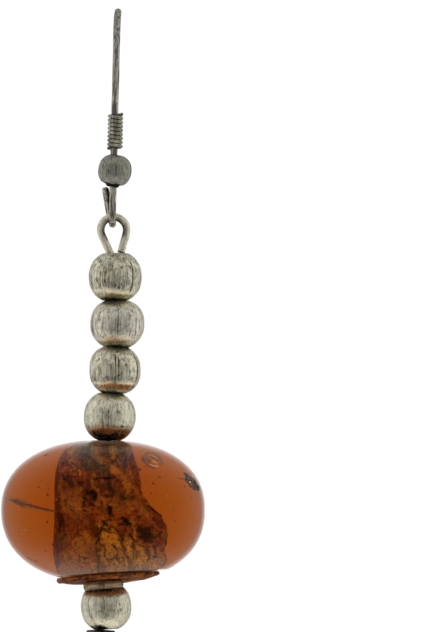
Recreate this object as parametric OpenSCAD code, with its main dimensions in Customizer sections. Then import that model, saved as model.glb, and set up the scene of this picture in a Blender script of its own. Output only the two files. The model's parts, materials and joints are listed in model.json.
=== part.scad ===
// Beaded drop earring: a French ear hook carries a drop of five silver beads and one large amber bead.
// Millimetres. The origin is the underside of the hook's crest, where it hangs in the ear.
// +Z is up, the front of the earring faces -Y, and +X is to the right as seen from the front.

/* [Ear hook] */
// Diameter of the hook's wire
hook_wire_d = 0.66; // [0.6:0.02:0.7]
// Radius of the arch, at the middle of the wire
arch_r = 4.2; // [4:0.1:5]
// Depth from the underside of the crest to the middle of the wire at the foot of the loop
hook_drop = 20.25; // [19.5:0.05:21]
// Radius of the bottom loop, at the middle of the wire
loop_r = 1.15; // [1.1:0.05:1.25]
// Height of the cut end of the loop above the loop's foot
loop_end_rise = 3.35; // [3:0.05:3.4]
// How far the cut end of the loop stands to the left of the front leg
loop_end_shift = 0.77; // [0:0.01:0.8]
// Angle by which the loop closes back towards the front leg
loop_closing = 25; // [15:1:30]
// Straight run of the tail below the arch
tail_drop = 3; // [2:0.1:4]
// Radius of the tail's outward bend
tail_bend_r = 10; // [8:0.5:12]
// Angle by which the tail's end flares out
tail_flare = 14; // [8:1:20]
// Length of the straight end of the tail
tail_end = 4.8; // [4:0.1:6]
// Length of the bevel at the tail's tip
tail_bevel = 0.2; // [0.1:0.05:0.3]

/* [Coil and ball] */
// Diameter of the coil's thin wire
coil_wire_d = 0.35; // [0.3:0.01:0.36]
// Number of turns in the coil
coil_turns = 8.5; // [6.5:1:8.5]
// Rise of each turn
coil_pitch = 0.385; // [0.38:0.005:0.4]
// Outer diameter of the coil
coil_d = 1.52; // [1.5:0.01:1.7]
// Depth of the coil's lower end below the crest
coil_foot = 12.98; // [12.9:0.02:13.06]
// Diameter of the ball
ball_d = 3.2; // [3:0.05:3.3]
// Diameter of the hole through the ball
ball_hole_d = 1.1; // [0.9:0.05:1.2]
// Depth of the ball's middle below the crest
ball_depth = 15.12; // [15.1:0.02:15.2]
// Sideways shift of the ball on the wire
ball_shift = 0.13; // [0:0.01:0.15]

/* [Eye pin] */
// Diameter of the eye pin's wire
pin_wire_d = 0.73; // [0.7:0.01:0.75]
// Radius of the round top of the eye, at the middle of the wire
eye_r = 1.25; // [1.2:0.01:1.28]
// Gap between the hook's loop and the eye that hangs on it
link_gap = 0.03; // [0.02:0.01:0.1]
// Sideways shift of the eye on the loop
eye_shift = 0.06; // [0:0.01:0.07]
// Slope of the eye's left leg, from upright
left_leg_slope = 26.6; // [25:0.2:27]
// Slope of the eye's open right leg, from upright
right_leg_slope = 15.8; // [14:0.2:17]
// Length of the open right leg
right_leg_length = 1.76; // [1.4:0.02:1.8]
// Sideways place of the pin where it enters the first bead
pin_top_x = 0.24; // [0.2:0.01:0.26]
// Sideways place of the pin at its head
pin_foot_x = -0.2; // [-0.22:0.01:0]
// Diameter of the flat head under the last bead
head_d = 2.75; // [2.4:0.05:3]
// Thickness of the head
head_t = 0.18; // [0.15:0.01:0.25]

/* [Silver beads] */
// Depth of the first bead's top below the crest
stack_top = 23.04; // [23:0.01:23.1]
// Gap between neighbours on the pin
stack_gap = 0.03; // [0.02:0.01:0.04]
// Diameter of the hole through each of the four upper beads
bead_hole_d = 2.16; // [2.1:0.02:2.2]
// Squareness of the beads' outline, where 2 is a plain ellipse
bead_power = 2.25; // [2:0.05:2.5]
// Diameter of the end bead
end_bead_d = 4.88; // [4.7:0.02:5]
// Height of the end bead's flat top above its widest place
end_bead_rise = 1.52; // [1.4:0.02:1.6]
// Depth of the end bead below its widest place
end_bead_drop = 2.2; // [2.1:0.02:2.25]
// Sideways place of the end bead
end_bead_x = 0.25; // [0:0.01:0.3]
// Tilt of the end bead on the pin, to the right and to the front
end_bead_tilt = 3; // [2:0.5:4]

/* [Amber bead] */
// Diameter of the amber bead
amber_d = 19.6; // [19:0.1:20]
// Height of its outline above the widest place
amber_rise = 6.7; // [6.5:0.02:6.8]
// Depth of its outline below the widest place, before the flat is ground
amber_fall = 7; // [6.8:0.05:7.2]
// Depth of the ground flat below the widest place
amber_flat = 6.23; // [6.1:0.01:6.3]
// Squareness of the amber bead's outline, where 2 is a plain ellipse
amber_power = 2.25; // [2:0.05:2.5]
// Diameter of the small flat round the top of the hole
amber_top_d = 3.6; // [3:0.1:4.4]
// Diameter of the drilled hole
amber_hole_d = 2.4; // [2:0.1:2.6]
// Sideways place of the amber bead
amber_x = -0.24; // [-0.3:0.01:0]
// Lean of the amber bead's own axis
amber_lean = 1.4; // [0:0.1:1.6]
// Size of the dark core inside the amber bead, over its usual size
core_size = 1; // [0.9:0.01:1.02]

/* [Disc and washer] */
// Mean diameter of the brown disc
disc_d = 9.9; // [9.4:0.1:10.2]
// Thickness of the brown disc
disc_t = 0.55; // [0.45:0.01:0.6]
// Rise of the flat and the disc towards the right
disc_side_tilt = 5.4; // [4:0.1:6]
// Rise of the flat and the disc towards the front
disc_front_tilt = 4.5; // [3:0.1:6]
// Sideways shift of the disc from the middle of the amber bead
disc_shift = 0.65; // [0:0.01:0.66]
// Diameter of the grey washer
washer_d = 3.85; // [3.7:0.05:4]
// Thickness of the grey washer
washer_t = 0.78; // [0.7:0.01:0.85]
// Sideways shift of the washer from the middle of the amber bead
washer_shift = 0.2; // [0:0.01:0.4]
// Diameter of the hole through the disc and the washer
thin_hole_d = 2; // [2:0.05:2.2]

/* [Hidden] */
$fn = 48;

// Columns of the upper beads' table, from the top bead down
DIAMETER = 0;
HEIGHT = 1;
SHIFT = 2;
UPPER_BEADS = [
    [5.04, 4.50, 0.39],
    [5.22, 4.42, 0.68],
    [4.98, 4.42, 0.57],
    [5.00, 4.46, 0.17]
];

// Columns of the table of rings that shape the amber bead's dark core, from the top ring down:
// height above the bead's widest place, reach to the left and reach to the right
RING_Z = 0;
RING_LEFT = 1;
RING_RIGHT = 2;
CORE_RINGS = [
    [6.2, 1.6, 1.6],
    [5, 2.2, 1.9],
    [3.2, 2.5, 2.1],
    [2.4, 3, 1.8],
    [1.2, 3.2, 1.85],
    [0.75, 3.05, 2.1],
    [0.55, 3, 2.75],
    [0, 2.95, 3.4],
    [-1, 2.9, 3.75],
    [-1.6, 3, 4.05],
    [-2.4, 3.25, 4.35],
    [-3.6, 3.3, 4.3],
    [-5.3, 3, 3.3]
];

STEEL = [0.36, 0.36, 0.34];
OLD_SILVER = [0.66, 0.64, 0.58];
AMBER = [0.62, 0.3, 0.1];
CORE_BROWN = [0.2, 0.08, 0.04];
BROWN_SHELL = [0.33, 0.16, 0.07];
GREY_METAL = [0.45, 0.42, 0.38];

// Sides of the coil wire's section and steps in each of its turns
COIL_SIDES = 8;
COIL_STEPS = 18;
// Steps in half of a bead's outline
BEAD_STEPS = 12;
AMBER_STEPS = 20;
CORE_SIDES = 40;
// Half height of a silver bead's whole outline, over the half height that its flat end leaves
END_TRIM = 1.11;
// Room for the lean of the amber bead and of the end bead
AMBER_ROOM = 0.05;
END_BEAD_ROOM = 0.14;
// A hair over the wire's own diameter, so that the runs of a wire close into one solid
KNUCKLE = 1.04;

hook_r = hook_wire_d / 2;
pin_r = pin_wire_d / 2;

// Depths in the side plane: the arch, the bottom loop and the pivot that the drop swings on
arch_z = hook_r - arch_r;
front_y = -arch_r;
pivot = [0, front_y + loop_r, -hook_drop];
loop_z = pivot.z + loop_r;

eye_top_z = pivot.z + hook_r + link_gap + pin_r;
eye = [eye_shift, pivot.y, eye_top_z - eye_r];

// Top of a bead in the stack, counted from 0
function bead_top(i) = i == 0 ? -stack_top : bead_top(i - 1) - UPPER_BEADS[i - 1][HEIGHT] - stack_gap;

amber_top = outline_z(amber_top_d / 2, amber_d / 2, amber_rise, amber_power);
amber_z = bead_top(len(UPPER_BEADS)) - AMBER_ROOM - amber_top;
flat_z = amber_z - amber_flat;
disc_z = flat_z - stack_gap - disc_t / 2;
washer_z = disc_z - disc_t / 2 - stack_gap - washer_t / 2;
end_bead_z = washer_z - washer_t / 2 - END_BEAD_ROOM - end_bead_rise;
head_z = end_bead_z - end_bead_drop - END_BEAD_ROOM;

// Half width of a bead's outline at height z, and its height at half width r,
// for an outline of half width a and half height b
function outline_r(z, a, b, power) = a * pow(1 - pow(abs(z) / b, power), 1 / power);
function outline_z(r, a, b, power) = b * pow(1 - pow(r / a, power), 1 / power);

// Half of a bead's outline between two heights, closed along its hole
function bead_outline(a, b_up, b_down, z_up, z_down, hole_r, power, steps) = concat(
    [[hole_r, z_up]],
    [for (i = [0 : steps])
        let (z = z_up * sin(90 * (1 - i / steps)))
        [outline_r(z, a, b_up, power), z]],
    [for (i = [1 : steps])
        let (z = -z_down * sin(90 * i / steps))
        [outline_r(z, a, b_down, power), z]],
    [[hole_r, -z_down]]
);

// Places drawings made in the XY plane into the earring's side plane and front plane
module in_side_plane() {
    rotate([90, 0, 90]) children();
}

module in_front_plane() {
    rotate([90, 0, 0]) children();
}

module wire_arc(radius, from, to, wire_d) {
    rotate(from) rotate_extrude(angle = to - from) translate([radius, 0]) circle(d = wire_d);
}

// A straight run of wire, with a bevelled tip at its end where one is asked for
module wire_between(start, end, wire_d, bevel = 0) {
    run = end - start;
    tall = norm(run);
    wire_r = wire_d / 2;
    translate(start)
        rotate([0, acos(run.z / tall), atan2(run.y, run.x)])
            rotate_extrude()
                polygon([
                    [0, 0],
                    [wire_r, 0],
                    [wire_r, tall - bevel],
                    [wire_r - bevel / 2, tall],
                    [0, tall]
                ]);
}

module wire_knuckles(places, wire_d) {
    for (place = places) translate(place) sphere(d = wire_d * KNUCKLE);
}

// A bead of revolution with its widest place at the origin
module turned_bead(d, b_up, b_down, z_up, z_down, hole_d, power, steps) {
    rotate_extrude()
        polygon(bead_outline(d / 2, b_up, b_down, z_up, z_down, hole_d / 2, power, steps));
}

module ear_hook() {
    tail_top = [0, arch_r, arch_z];
    bend_top = tail_top - [0, 0, tail_drop];
    bend_foot = bend_top + tail_bend_r * [0, 1 - cos(tail_flare), -sin(tail_flare)];
    tail_tip = bend_foot + tail_end * [0, sin(tail_flare), -cos(tail_flare)];
    leg_top = [0, front_y, arch_z];
    leg_foot = [0, front_y, loop_z];
    closing_start = [0, pivot.y + loop_r * cos(loop_closing), loop_z + loop_r * sin(loop_closing)];
    closing_rise = pivot.z + loop_end_rise - closing_start.z;
    closing_end = closing_start + [-loop_end_shift, -closing_rise * tan(loop_closing), closing_rise];
    color(STEEL) union() {
        in_side_plane() {
            translate([0, arch_z]) wire_arc(arch_r, 0, 180, hook_wire_d);
            translate([bend_top.y + tail_bend_r, bend_top.z])
                wire_arc(tail_bend_r, 180, 180 + tail_flare, hook_wire_d);
            translate([pivot.y, loop_z]) wire_arc(loop_r, 180, 360 + loop_closing, hook_wire_d);
        }
        wire_between(tail_top, bend_top, hook_wire_d);
        wire_between(bend_foot, tail_tip, hook_wire_d, tail_bevel);
        wire_between(leg_foot, leg_top, hook_wire_d);
        wire_between(closing_start, closing_end, hook_wire_d);
        wire_knuckles([tail_top, bend_top, bend_foot, leg_foot, leg_top, closing_start], hook_wire_d);
    }
}

// The coil's wire as one closed tube that follows a helix down the front leg
module hook_coil() {
    helix_r = (coil_d - coil_wire_d) / 2;
    rings = coil_turns * COIL_STEPS;
    points = [
        for (i = [0 : rings], j = [0 : COIL_SIDES - 1])
            let (
                turn = 360 * i / COIL_STEPS,
                side = 360 * j / COIL_SIDES,
                reach = helix_r + coil_wire_d / 2 * cos(side),
                rise = coil_pitch * i / COIL_STEPS + coil_wire_d / 2 * sin(side)
            )
            [reach * cos(turn), reach * sin(turn), rise]
    ];
    walls = [
        for (i = [0 : rings - 1], j = [0 : COIL_SIDES - 1])
            let (next = (j + 1) % COIL_SIDES, ring = i * COIL_SIDES, above = (i + 1) * COIL_SIDES)
            [ring + j, above + j, above + next, ring + next]
    ];
    ends = [
        [for (j = [0 : COIL_SIDES - 1]) j],
        [for (j = [0 : COIL_SIDES - 1]) rings * COIL_SIDES + COIL_SIDES - 1 - j]
    ];
    color(GREY_METAL)
        translate([0, front_y, -coil_foot])
            mirror([1, 0, 0])
                polyhedron(points, concat(walls, ends));
}

module hook_ball() {
    color(STEEL)
        translate([ball_shift, front_y, -ball_depth])
            rotate_extrude()
                difference() {
                    circle(d = ball_d);
                    translate([-ball_d, -ball_d]) square([ball_d + ball_hole_d / 2, 2 * ball_d]);
                }
}

module eye_pin() {
    left_start = eye + eye_r * [-cos(left_leg_slope), 0, -sin(left_leg_slope)];
    left_run = (pin_top_x - left_start.x) / sin(left_leg_slope);
    pin_top = left_start + left_run * [sin(left_leg_slope), 0, -cos(left_leg_slope)];
    right_start = eye + eye_r * [cos(right_leg_slope), 0, -sin(right_leg_slope)];
    right_end = right_start + right_leg_length * [-sin(right_leg_slope), 0, -cos(right_leg_slope)];
    pin_foot = [pin_foot_x, pivot.y, head_z];
    color(GREY_METAL) union() {
        translate([eye.x, eye.y, eye.z])
            in_front_plane() wire_arc(eye_r, -right_leg_slope, 180 + left_leg_slope, pin_wire_d);
        wire_between(left_start, pin_top, pin_wire_d);
        wire_between(right_start, right_end, pin_wire_d);
        wire_between(pin_top, pin_foot, pin_wire_d);
        wire_knuckles([left_start, right_start, pin_top], pin_wire_d);
        translate(pin_foot) translate([0, 0, -head_t]) cylinder(h = head_t, d = head_d);
    }
}

module silver_bead(i) {
    bead = UPPER_BEADS[i];
    rise = bead[HEIGHT] / 2;
    color(OLD_SILVER)
        translate([bead[SHIFT], pivot.y, bead_top(i) - rise])
            turned_bead(bead[DIAMETER], rise * END_TRIM, rise * END_TRIM, rise, rise, bead_hole_d,
                bead_power, BEAD_STEPS);
}

// Turns a piece to the slope of the ground flat under the amber bead
module on_the_flat(z) {
    translate([amber_x, pivot.y, z]) rotate([-disc_front_tilt, -disc_side_tilt, 0]) children();
}

module in_the_amber() {
    translate([amber_x, pivot.y, amber_z]) rotate([0, -amber_lean, 0]) children();
}

// The lopsided core as one closed shell of rings, grown by a margin on every side
module core_shell(margin) {
    last = len(CORE_RINGS) - 1;
    points = [
        for (i = [0 : last], j = [0 : CORE_SIDES - 1])
            let (
                ring = CORE_RINGS[i],
                angle = 360 * j / CORE_SIDES,
                share = (1 + cos(angle)) / 2,
                reach = core_size * (ring[RING_LEFT] + (ring[RING_RIGHT] - ring[RING_LEFT]) * share) + margin,
                lift = i == 0 ? margin : i == last ? -margin : 0
            )
            [reach * cos(angle), reach * sin(angle), ring[RING_Z] + lift]
    ];
    walls = [
        for (i = [0 : last - 1], j = [0 : CORE_SIDES - 1])
            let (next = (j + 1) % CORE_SIDES, ring = i * CORE_SIDES, below = (i + 1) * CORE_SIDES)
            [ring + j, ring + next, below + next, below + j]
    ];
    ends = [
        [for (j = [0 : CORE_SIDES - 1]) CORE_SIDES - 1 - j],
        [for (j = [0 : CORE_SIDES - 1]) last * CORE_SIDES + j]
    ];
    polyhedron(points, concat(walls, ends));
}

module amber_bead() {
    color(AMBER) difference() {
        in_the_amber()
            turned_bead(amber_d, amber_rise, amber_fall, amber_top,
                outline_z(amber_top_d / 2, amber_d / 2, amber_fall, amber_power),
                amber_hole_d, amber_power, AMBER_STEPS);
        on_the_flat(flat_z) translate([0, 0, -amber_d / 2]) cube(amber_d, center = true);
        in_the_amber() core_shell(stack_gap);
    }
}

// The dark, flawed middle of the amber bead, drilled with it
module dark_core() {
    color(CORE_BROWN) in_the_amber() difference() {
        core_shell(0);
        cylinder(h = 2 * amber_fall, d = amber_hole_d, center = true);
    }
}

module shell_disc() {
    color(BROWN_SHELL)
        on_the_flat(disc_z) translate([disc_shift, 0])
            linear_extrude(disc_t, center = true) difference() {
                circle(d = disc_d);
                circle(d = thin_hole_d);
            }
}

module spacer_washer() {
    color(GREY_METAL)
        on_the_flat(washer_z) translate([washer_shift, 0])
            linear_extrude(washer_t, center = true) difference() {
                circle(d = washer_d);
                circle(d = thin_hole_d);
            }
}

module end_bead() {
    color(OLD_SILVER)
        translate([end_bead_x, pivot.y, end_bead_z])
            rotate([-end_bead_tilt, -end_bead_tilt, 0])
                turned_bead(end_bead_d, end_bead_drop * END_TRIM, end_bead_drop * END_TRIM,
                    end_bead_rise, end_bead_drop, bead_hole_d, bead_power, BEAD_STEPS);
}

ear_hook();
hook_coil();
hook_ball();
eye_pin();
silver_bead(0);  // silver_bead_1
silver_bead(1);  // silver_bead_2
silver_bead(2);  // silver_bead_3
silver_bead(3);  // silver_bead_4
amber_bead();
dark_core();
shell_disc();
spacer_washer();
end_bead();
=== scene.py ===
import json
import math
from itertools import product

import bpy
import numpy as np
from mathutils import Matrix, Vector


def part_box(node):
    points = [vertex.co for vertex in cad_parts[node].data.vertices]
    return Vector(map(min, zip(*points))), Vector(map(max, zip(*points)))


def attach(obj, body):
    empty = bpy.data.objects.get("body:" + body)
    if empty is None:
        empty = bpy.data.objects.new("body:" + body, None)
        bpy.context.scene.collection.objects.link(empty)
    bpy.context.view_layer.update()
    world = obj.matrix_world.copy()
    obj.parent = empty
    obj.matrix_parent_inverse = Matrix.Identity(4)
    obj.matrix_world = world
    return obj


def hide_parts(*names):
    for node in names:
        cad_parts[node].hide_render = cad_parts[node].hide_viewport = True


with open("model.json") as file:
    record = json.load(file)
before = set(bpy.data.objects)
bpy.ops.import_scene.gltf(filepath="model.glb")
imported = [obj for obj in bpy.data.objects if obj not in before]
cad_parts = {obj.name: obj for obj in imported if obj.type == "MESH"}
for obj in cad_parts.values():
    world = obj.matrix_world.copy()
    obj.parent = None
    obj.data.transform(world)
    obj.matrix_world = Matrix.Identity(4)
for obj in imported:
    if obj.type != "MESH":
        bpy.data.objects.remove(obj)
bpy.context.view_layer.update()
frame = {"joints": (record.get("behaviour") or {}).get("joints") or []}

# Sizes and places are millimetres in the frame of the part, and become metres when a piece is made.
MM = 0.001
PIVOT = np.array(frame["joints"][0]["pos_m"]) / MM


def box_of(node):
    low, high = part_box(node)
    return np.array(low) / MM, np.array(high) / MM


def middle_of(node):
    low, high = box_of(node)
    return (low + high) / 2


def size_of(node):
    low, high = box_of(node)
    return high - low


def stacked(*parts):
    """Arrays side by side along a new last axis."""
    return np.stack(np.broadcast_arrays(*parts), axis=-1)


def rotation(degrees, axis):
    return Matrix.Rotation(math.radians(degrees), 3, axis)


# Camera
PHOTO_WIDTH = 440
PHOTO_HEIGHT = 632
PIXEL = 0.096
# Pixel of the photograph that shows the frame's origin, and how the photograph leans
ORIGIN_PIXEL = np.array([117.5, 13.5])
LEAN_RIGHT = 0.0238
LEAN_UP = 0.9997
CAMERA_AWAY = 480.0
SENSOR = 36.0


def place_at_pixel(px, py):
    """The places that pixels of the photograph show, in the upright plane through the pivot."""
    dx = px - ORIGIN_PIXEL[0]
    dy = py - ORIGIN_PIXEL[1]
    across = (LEAN_UP * dx + LEAN_RIGHT * dy) * PIXEL
    up = (LEAN_RIGHT * dx - LEAN_UP * dy) * PIXEL
    return stacked(across, PIVOT[1], up)


CAMERA_PLACE = place_at_pixel(PHOTO_WIDTH / 2, PHOTO_HEIGHT / 2) - [0, CAMERA_AWAY, 0]


def add_camera():
    data = bpy.data.cameras.new("camera")
    data.sensor_fit = "VERTICAL"
    data.sensor_width = SENSOR
    data.sensor_height = SENSOR
    data.lens = SENSOR * CAMERA_AWAY / (PHOTO_HEIGHT * PIXEL)
    data.clip_start = 0.01
    camera = bpy.data.objects.new("camera", data)
    bpy.context.scene.collection.objects.link(camera)
    right = Vector((LEAN_UP, 0, LEAN_RIGHT))
    up = Vector((-LEAN_RIGHT, 0, LEAN_UP))
    turn = Matrix((right, up, right.cross(up))).transposed()
    camera.matrix_world = Matrix.Translation(Vector(CAMERA_PLACE * MM)) @ turn.to_4x4()
    bpy.context.scene.camera = camera


add_camera()


# Seeded noise for the shapes
LATTICE_STEPS = np.array([73856093, 19349663, 83492791])
SEED_STEP = 40503 * 65537
MIXER = 1274126177


def lattice_value(cells, seed):
    """A seeded value from -1 to 1 for each cell of whole numbers."""
    mixed = cells @ LATTICE_STEPS + seed * SEED_STEP
    mixed = ((mixed ^ (mixed >> 13)) * MIXER) & 0xFFFFFFFF
    mixed = ((mixed ^ (mixed >> 15)) * MIXER) & 0xFFFFFFFF
    return ((mixed >> 8) & 0xFFFF) / 0x8000 - 1


def noise(points, seed):
    """Smooth noise from -1 to 1, with about one bump in each unit of length."""
    cells = np.floor(points).astype(np.int64)
    share = points - cells
    share = share * share * (3 - 2 * share)
    total = np.zeros(points.shape[:-1])
    for corner in product((0, 1), repeat=3):
        weight = np.prod(np.where(corner, share, 1 - share), axis=-1)
        total += weight * lattice_value(cells + np.array(corner), seed)
    return total


def layered_noise(points, seed, layers):
    return sum(noise(points * 2 ** k, seed + k) / 2 ** k for k in range(layers))


def smooth_step(low, high, values):
    share = np.clip((values - low) / (high - low), 0, 1)
    return share * share * (3 - 2 * share)


def front_angle(points):
    """Angle about Z from the front, in degrees, towards the right as seen from the front."""
    return np.degrees(np.arctan2(points[..., 0], -points[..., 1]))


def angle_between(angles, middle):
    return (angles - middle + 180) % 360 - 180


def from_axis(points):
    """Distance from the Z axis."""
    return np.hypot(points[..., 0], points[..., 1])


def from_front(angles):
    """The way across and the way back, at angles in degrees from the front."""
    turn = np.radians(angles)
    return np.sin(turn), -np.cos(turn)


def circle(count):
    """Cosines and sines of angles evenly spaced all round."""
    angle = np.linspace(0, 2 * np.pi, count, endpoint=False)
    return np.cos(angle), np.sin(angle)


# Surfaces as grids of points, rows by columns. Wires have a row at each step along them
WIRE_STEP = 0.1


def grid_faces(rows, columns, closed_rows=True):
    """Quads of a grid whose columns meet, and whose last row meets the first if closed_rows is set."""
    row = np.arange(rows if closed_rows else rows - 1)[:, None]
    column = np.arange(columns)
    below = (row + 1) % rows
    beside = (column + 1) % columns
    corners = stacked(row * columns + column, below * columns + column, below * columns + beside,
                      row * columns + beside)
    return corners.reshape(-1, 4).tolist()


def turned(profile, columns):
    """Points and outward normals of a closed outline of (radius, height), turned about Z."""
    cos, sin = circle(columns)
    tangent = np.roll(profile, -1, axis=0) - np.roll(profile, 1, axis=0)
    tangent /= np.linalg.norm(tangent, axis=1, keepdims=True) + 1e-12

    def sweep(radial, upright):
        radial = radial[:, None]
        return stacked(radial * cos, radial * sin, upright[:, None])

    return sweep(*profile.T), sweep(-tangent[:, 1], tangent[:, 0])


def swept(path, radius, sides, first_side):
    """Points and outward normals of a tube along a path. Its first column faces first_side."""
    tangent = np.gradient(path, axis=0)
    tangent /= np.linalg.norm(tangent, axis=1, keepdims=True)
    side = np.array(first_side, float)
    firsts = []
    for way in tangent:
        side = side - (side @ way) * way
        side /= np.linalg.norm(side)
        firsts.append(side)
    firsts = np.array(firsts)
    seconds = np.cross(tangent, firsts)
    cos, sin = [part[:, None] for part in circle(sides)]
    normals = firsts[:, None] * cos - seconds[:, None] * sin
    radius = np.broadcast_to(radius, len(path))[:, None, None]
    return path[:, None] + normals * radius, normals


def arc(middle, radius, start, end):
    """Points of an arc in a plane, as (across, up), from start to end in degrees."""
    count = max(3, int(abs(math.radians(end - start)) * radius / WIRE_STEP) + 1)
    angle = np.radians(np.linspace(start, end, count))
    return np.array(middle) + radius * stacked(np.cos(angle), np.sin(angle))


def evenly_spaced(path):
    """The same path with its points a fixed step apart."""
    run = np.concatenate([[0], np.cumsum(np.linalg.norm(np.diff(path, axis=0), axis=1))])
    places = np.linspace(0, run[-1], int(run[-1] / WIRE_STEP) + 1)
    return stacked(*[np.interp(places, run, column) for column in path.T])


def smoothed(path, rounds):
    """The path with its corners rounded and its ends kept."""
    for _ in range(rounds):
        inner = (path[:-2] + 2 * path[1:-1] + path[2:]) / 4
        path = np.concatenate([path[:1], inner, path[-1:]])
    return path


def make_object(name, points, faces, material, attributes=None):
    mesh = bpy.data.meshes.new(name)
    mesh.from_pydata((np.asarray(points).reshape(-1, 3) * MM).tolist(), [], faces)
    mesh.polygons.foreach_set("use_smooth", [True] * len(mesh.polygons))
    for key, values in (attributes or {}).items():
        layer = mesh.attributes.new(key, "FLOAT", "POINT")
        layer.data.foreach_set("value", np.asarray(values, np.float32).ravel())
    mesh.materials.append(material)
    mesh.update()
    made = bpy.data.objects.new(name, mesh)
    bpy.context.scene.collection.objects.link(made)
    return made


def make_piece(name, points, material, body, replaced=(), attributes=None, faces=grid_faces):
    """A piece that rides on a body. Its faces are listed, or worked out from the size of its grid."""
    if callable(faces):
        faces = faces(*points.shape[:2])
    piece = make_object(name, points, faces, material, attributes)
    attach(piece, body)
    if replaced:
        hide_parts(*replaced)


def tube_faces(rows, sides):
    """Quads of an open tube and a face over each end."""
    first = list(range(sides))
    last = [(rows - 1) * sides + k for k in reversed(range(sides))]
    return grid_faces(rows, sides, False) + [first, last]


# Shading
def tone(red, green, blue):
    """A colour as it is seen on a screen, from 0 to 255, turned into linear light."""
    linear = [((v / 255 + 0.055) / 1.055) ** 2.4 if v > 10 else v / 255 / 12.92 for v in (red, green, blue)]
    return (*linear, 1.0)


class Nodes:
    """Adds nodes to one node tree, and links or sets their inputs by name or number."""

    def __init__(self, tree):
        self.tree = tree
        tree.nodes.clear()

    def add(self, kind, inputs=None, **settings):
        made = self.tree.nodes.new(kind)
        for key, value in settings.items():
            setattr(made, key, value)
        for socket, value in (inputs or {}).items():
            if isinstance(value, bpy.types.NodeSocket):
                self.tree.links.new(value, made.inputs[socket])
            else:
                made.inputs[socket].default_value = value
        return made

    def maths(self, operation, first, second=0.0):
        return self.add("ShaderNodeMath", {0: first, 1: second}, operation=operation).outputs[0]

    def times(self, first, second):
        return self.maths("MULTIPLY", first, second)

    def remap(self, value, low, high, to_low=0.0, to_high=1.0):
        inputs = {0: value, 1: low, 2: high, 3: to_low, 4: to_high}
        return self.add("ShaderNodeMapRange", inputs, interpolation_type="SMOOTHSTEP").outputs[0]

    def mix(self, share, first, second, blend="MIX"):
        inputs = {0: share, 6: first, 7: second}
        return self.add("ShaderNodeMix", inputs, data_type="RGBA", blend_type=blend).outputs[2]

    def shaded(self, value, low, high, first, second):
        """From the first colour to the second as the value goes from low to high."""
        return self.mix(self.remap(value, low, high), first, second)

    def layered(self, base, *layers):
        """The base colour under layers, each one a share and a colour."""
        for share, colour in layers:
            base = self.mix(share, base, colour)
        return base

    def attribute(self, name):
        return self.add("ShaderNodeAttribute", attribute_name=name).outputs["Fac"]


class Finish(Nodes):
    """The nodes of one material."""

    def __init__(self, name):
        self.material = bpy.data.materials.new(name)
        self.material.use_nodes = True
        super().__init__(self.material.node_tree)
        self.place = self.add("ShaderNodeTexCoord").outputs["Object"]

    def along(self, axis):
        return self.add("ShaderNodeSeparateXYZ", {0: self.place}).outputs[axis]

    def noise(self, grain, detail=2.0, distortion=0.0, shift=0.0):
        """Noise whose grain has a size in millimetres along each axis."""
        scaled = {0: self.place, 1: [1 / (MM * size) for size in grain], 2: [shift] * 3}
        place = self.add("ShaderNodeVectorMath", scaled, operation="MULTIPLY_ADD").outputs[0]
        inputs = {"Vector": place, "Scale": 1.0, "Detail": detail, "Roughness": 0.55,
                  "Distortion": distortion}
        return self.add("ShaderNodeTexNoise", inputs).outputs["Fac"]

    def bump(self, height, size, strength=1.0, under=None):
        inputs = {"Height": height, "Distance": size * MM, "Strength": strength}
        if under is not None:
            inputs["Normal"] = under
        return self.add("ShaderNodeBump", inputs).outputs["Normal"]

    def close(self, base, roughness, inputs, absorb=None):
        inputs = {"Base Color": base, "Roughness": roughness, **inputs}
        surface = self.add("ShaderNodeBsdfPrincipled", inputs)
        output = self.add("ShaderNodeOutputMaterial", {"Surface": surface.outputs[0]})
        if absorb is not None:
            self.tree.links.new(absorb, output.inputs["Volume"])
        return self.material


# The rest of the worn surface is a dull film
METAL_SHARE = 0.93
# Colour of the painted bright reflection in rings on the beads
CREAM = tone(255, 240, 204)


def dark_steel(name, light, dark, lower_light, dullness=0.0):
    """Blackened wire: lengthwise brush marks, worn ridges, dull spots, and places darkened as painted shade.
    """
    steel = Finish(name)
    brushed = steel.noise((0.17, 0.17, 2.0), detail=3.0)
    mottled = steel.noise((0.7, 0.7, 0.9), detail=3.0, shift=4.0)
    spots = steel.remap(steel.noise((0.35, 0.35, 0.4), shift=9.0), 0.28, 0.38, 0.4, 1.0)
    low_down = steel.remap(steel.along("Z"), -6 * MM, -4 * MM, 1.0, 0.0)
    base = steel.shaded(brushed, 0.42, 0.56, dark, steel.mix(low_down, light, lower_light))
    base = steel.mix(spots, dark, steel.mix(steel.remap(mottled, 0.35, 0.65, 0.0, 0.5), base, dark))
    base = steel.mix(steel.attribute("grime_and_shade"), base, tone(26, 24, 18))
    normal = steel.bump(mottled, 0.05, 0.4, steel.bump(brushed, 0.03, 0.6))
    roughness = steel.remap(mottled, 0.2, 0.8, 0.34 + dullness, 0.55 + dullness)
    return steel.close(base, roughness, {"Metallic": METAL_SHARE, "Normal": normal})


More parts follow.
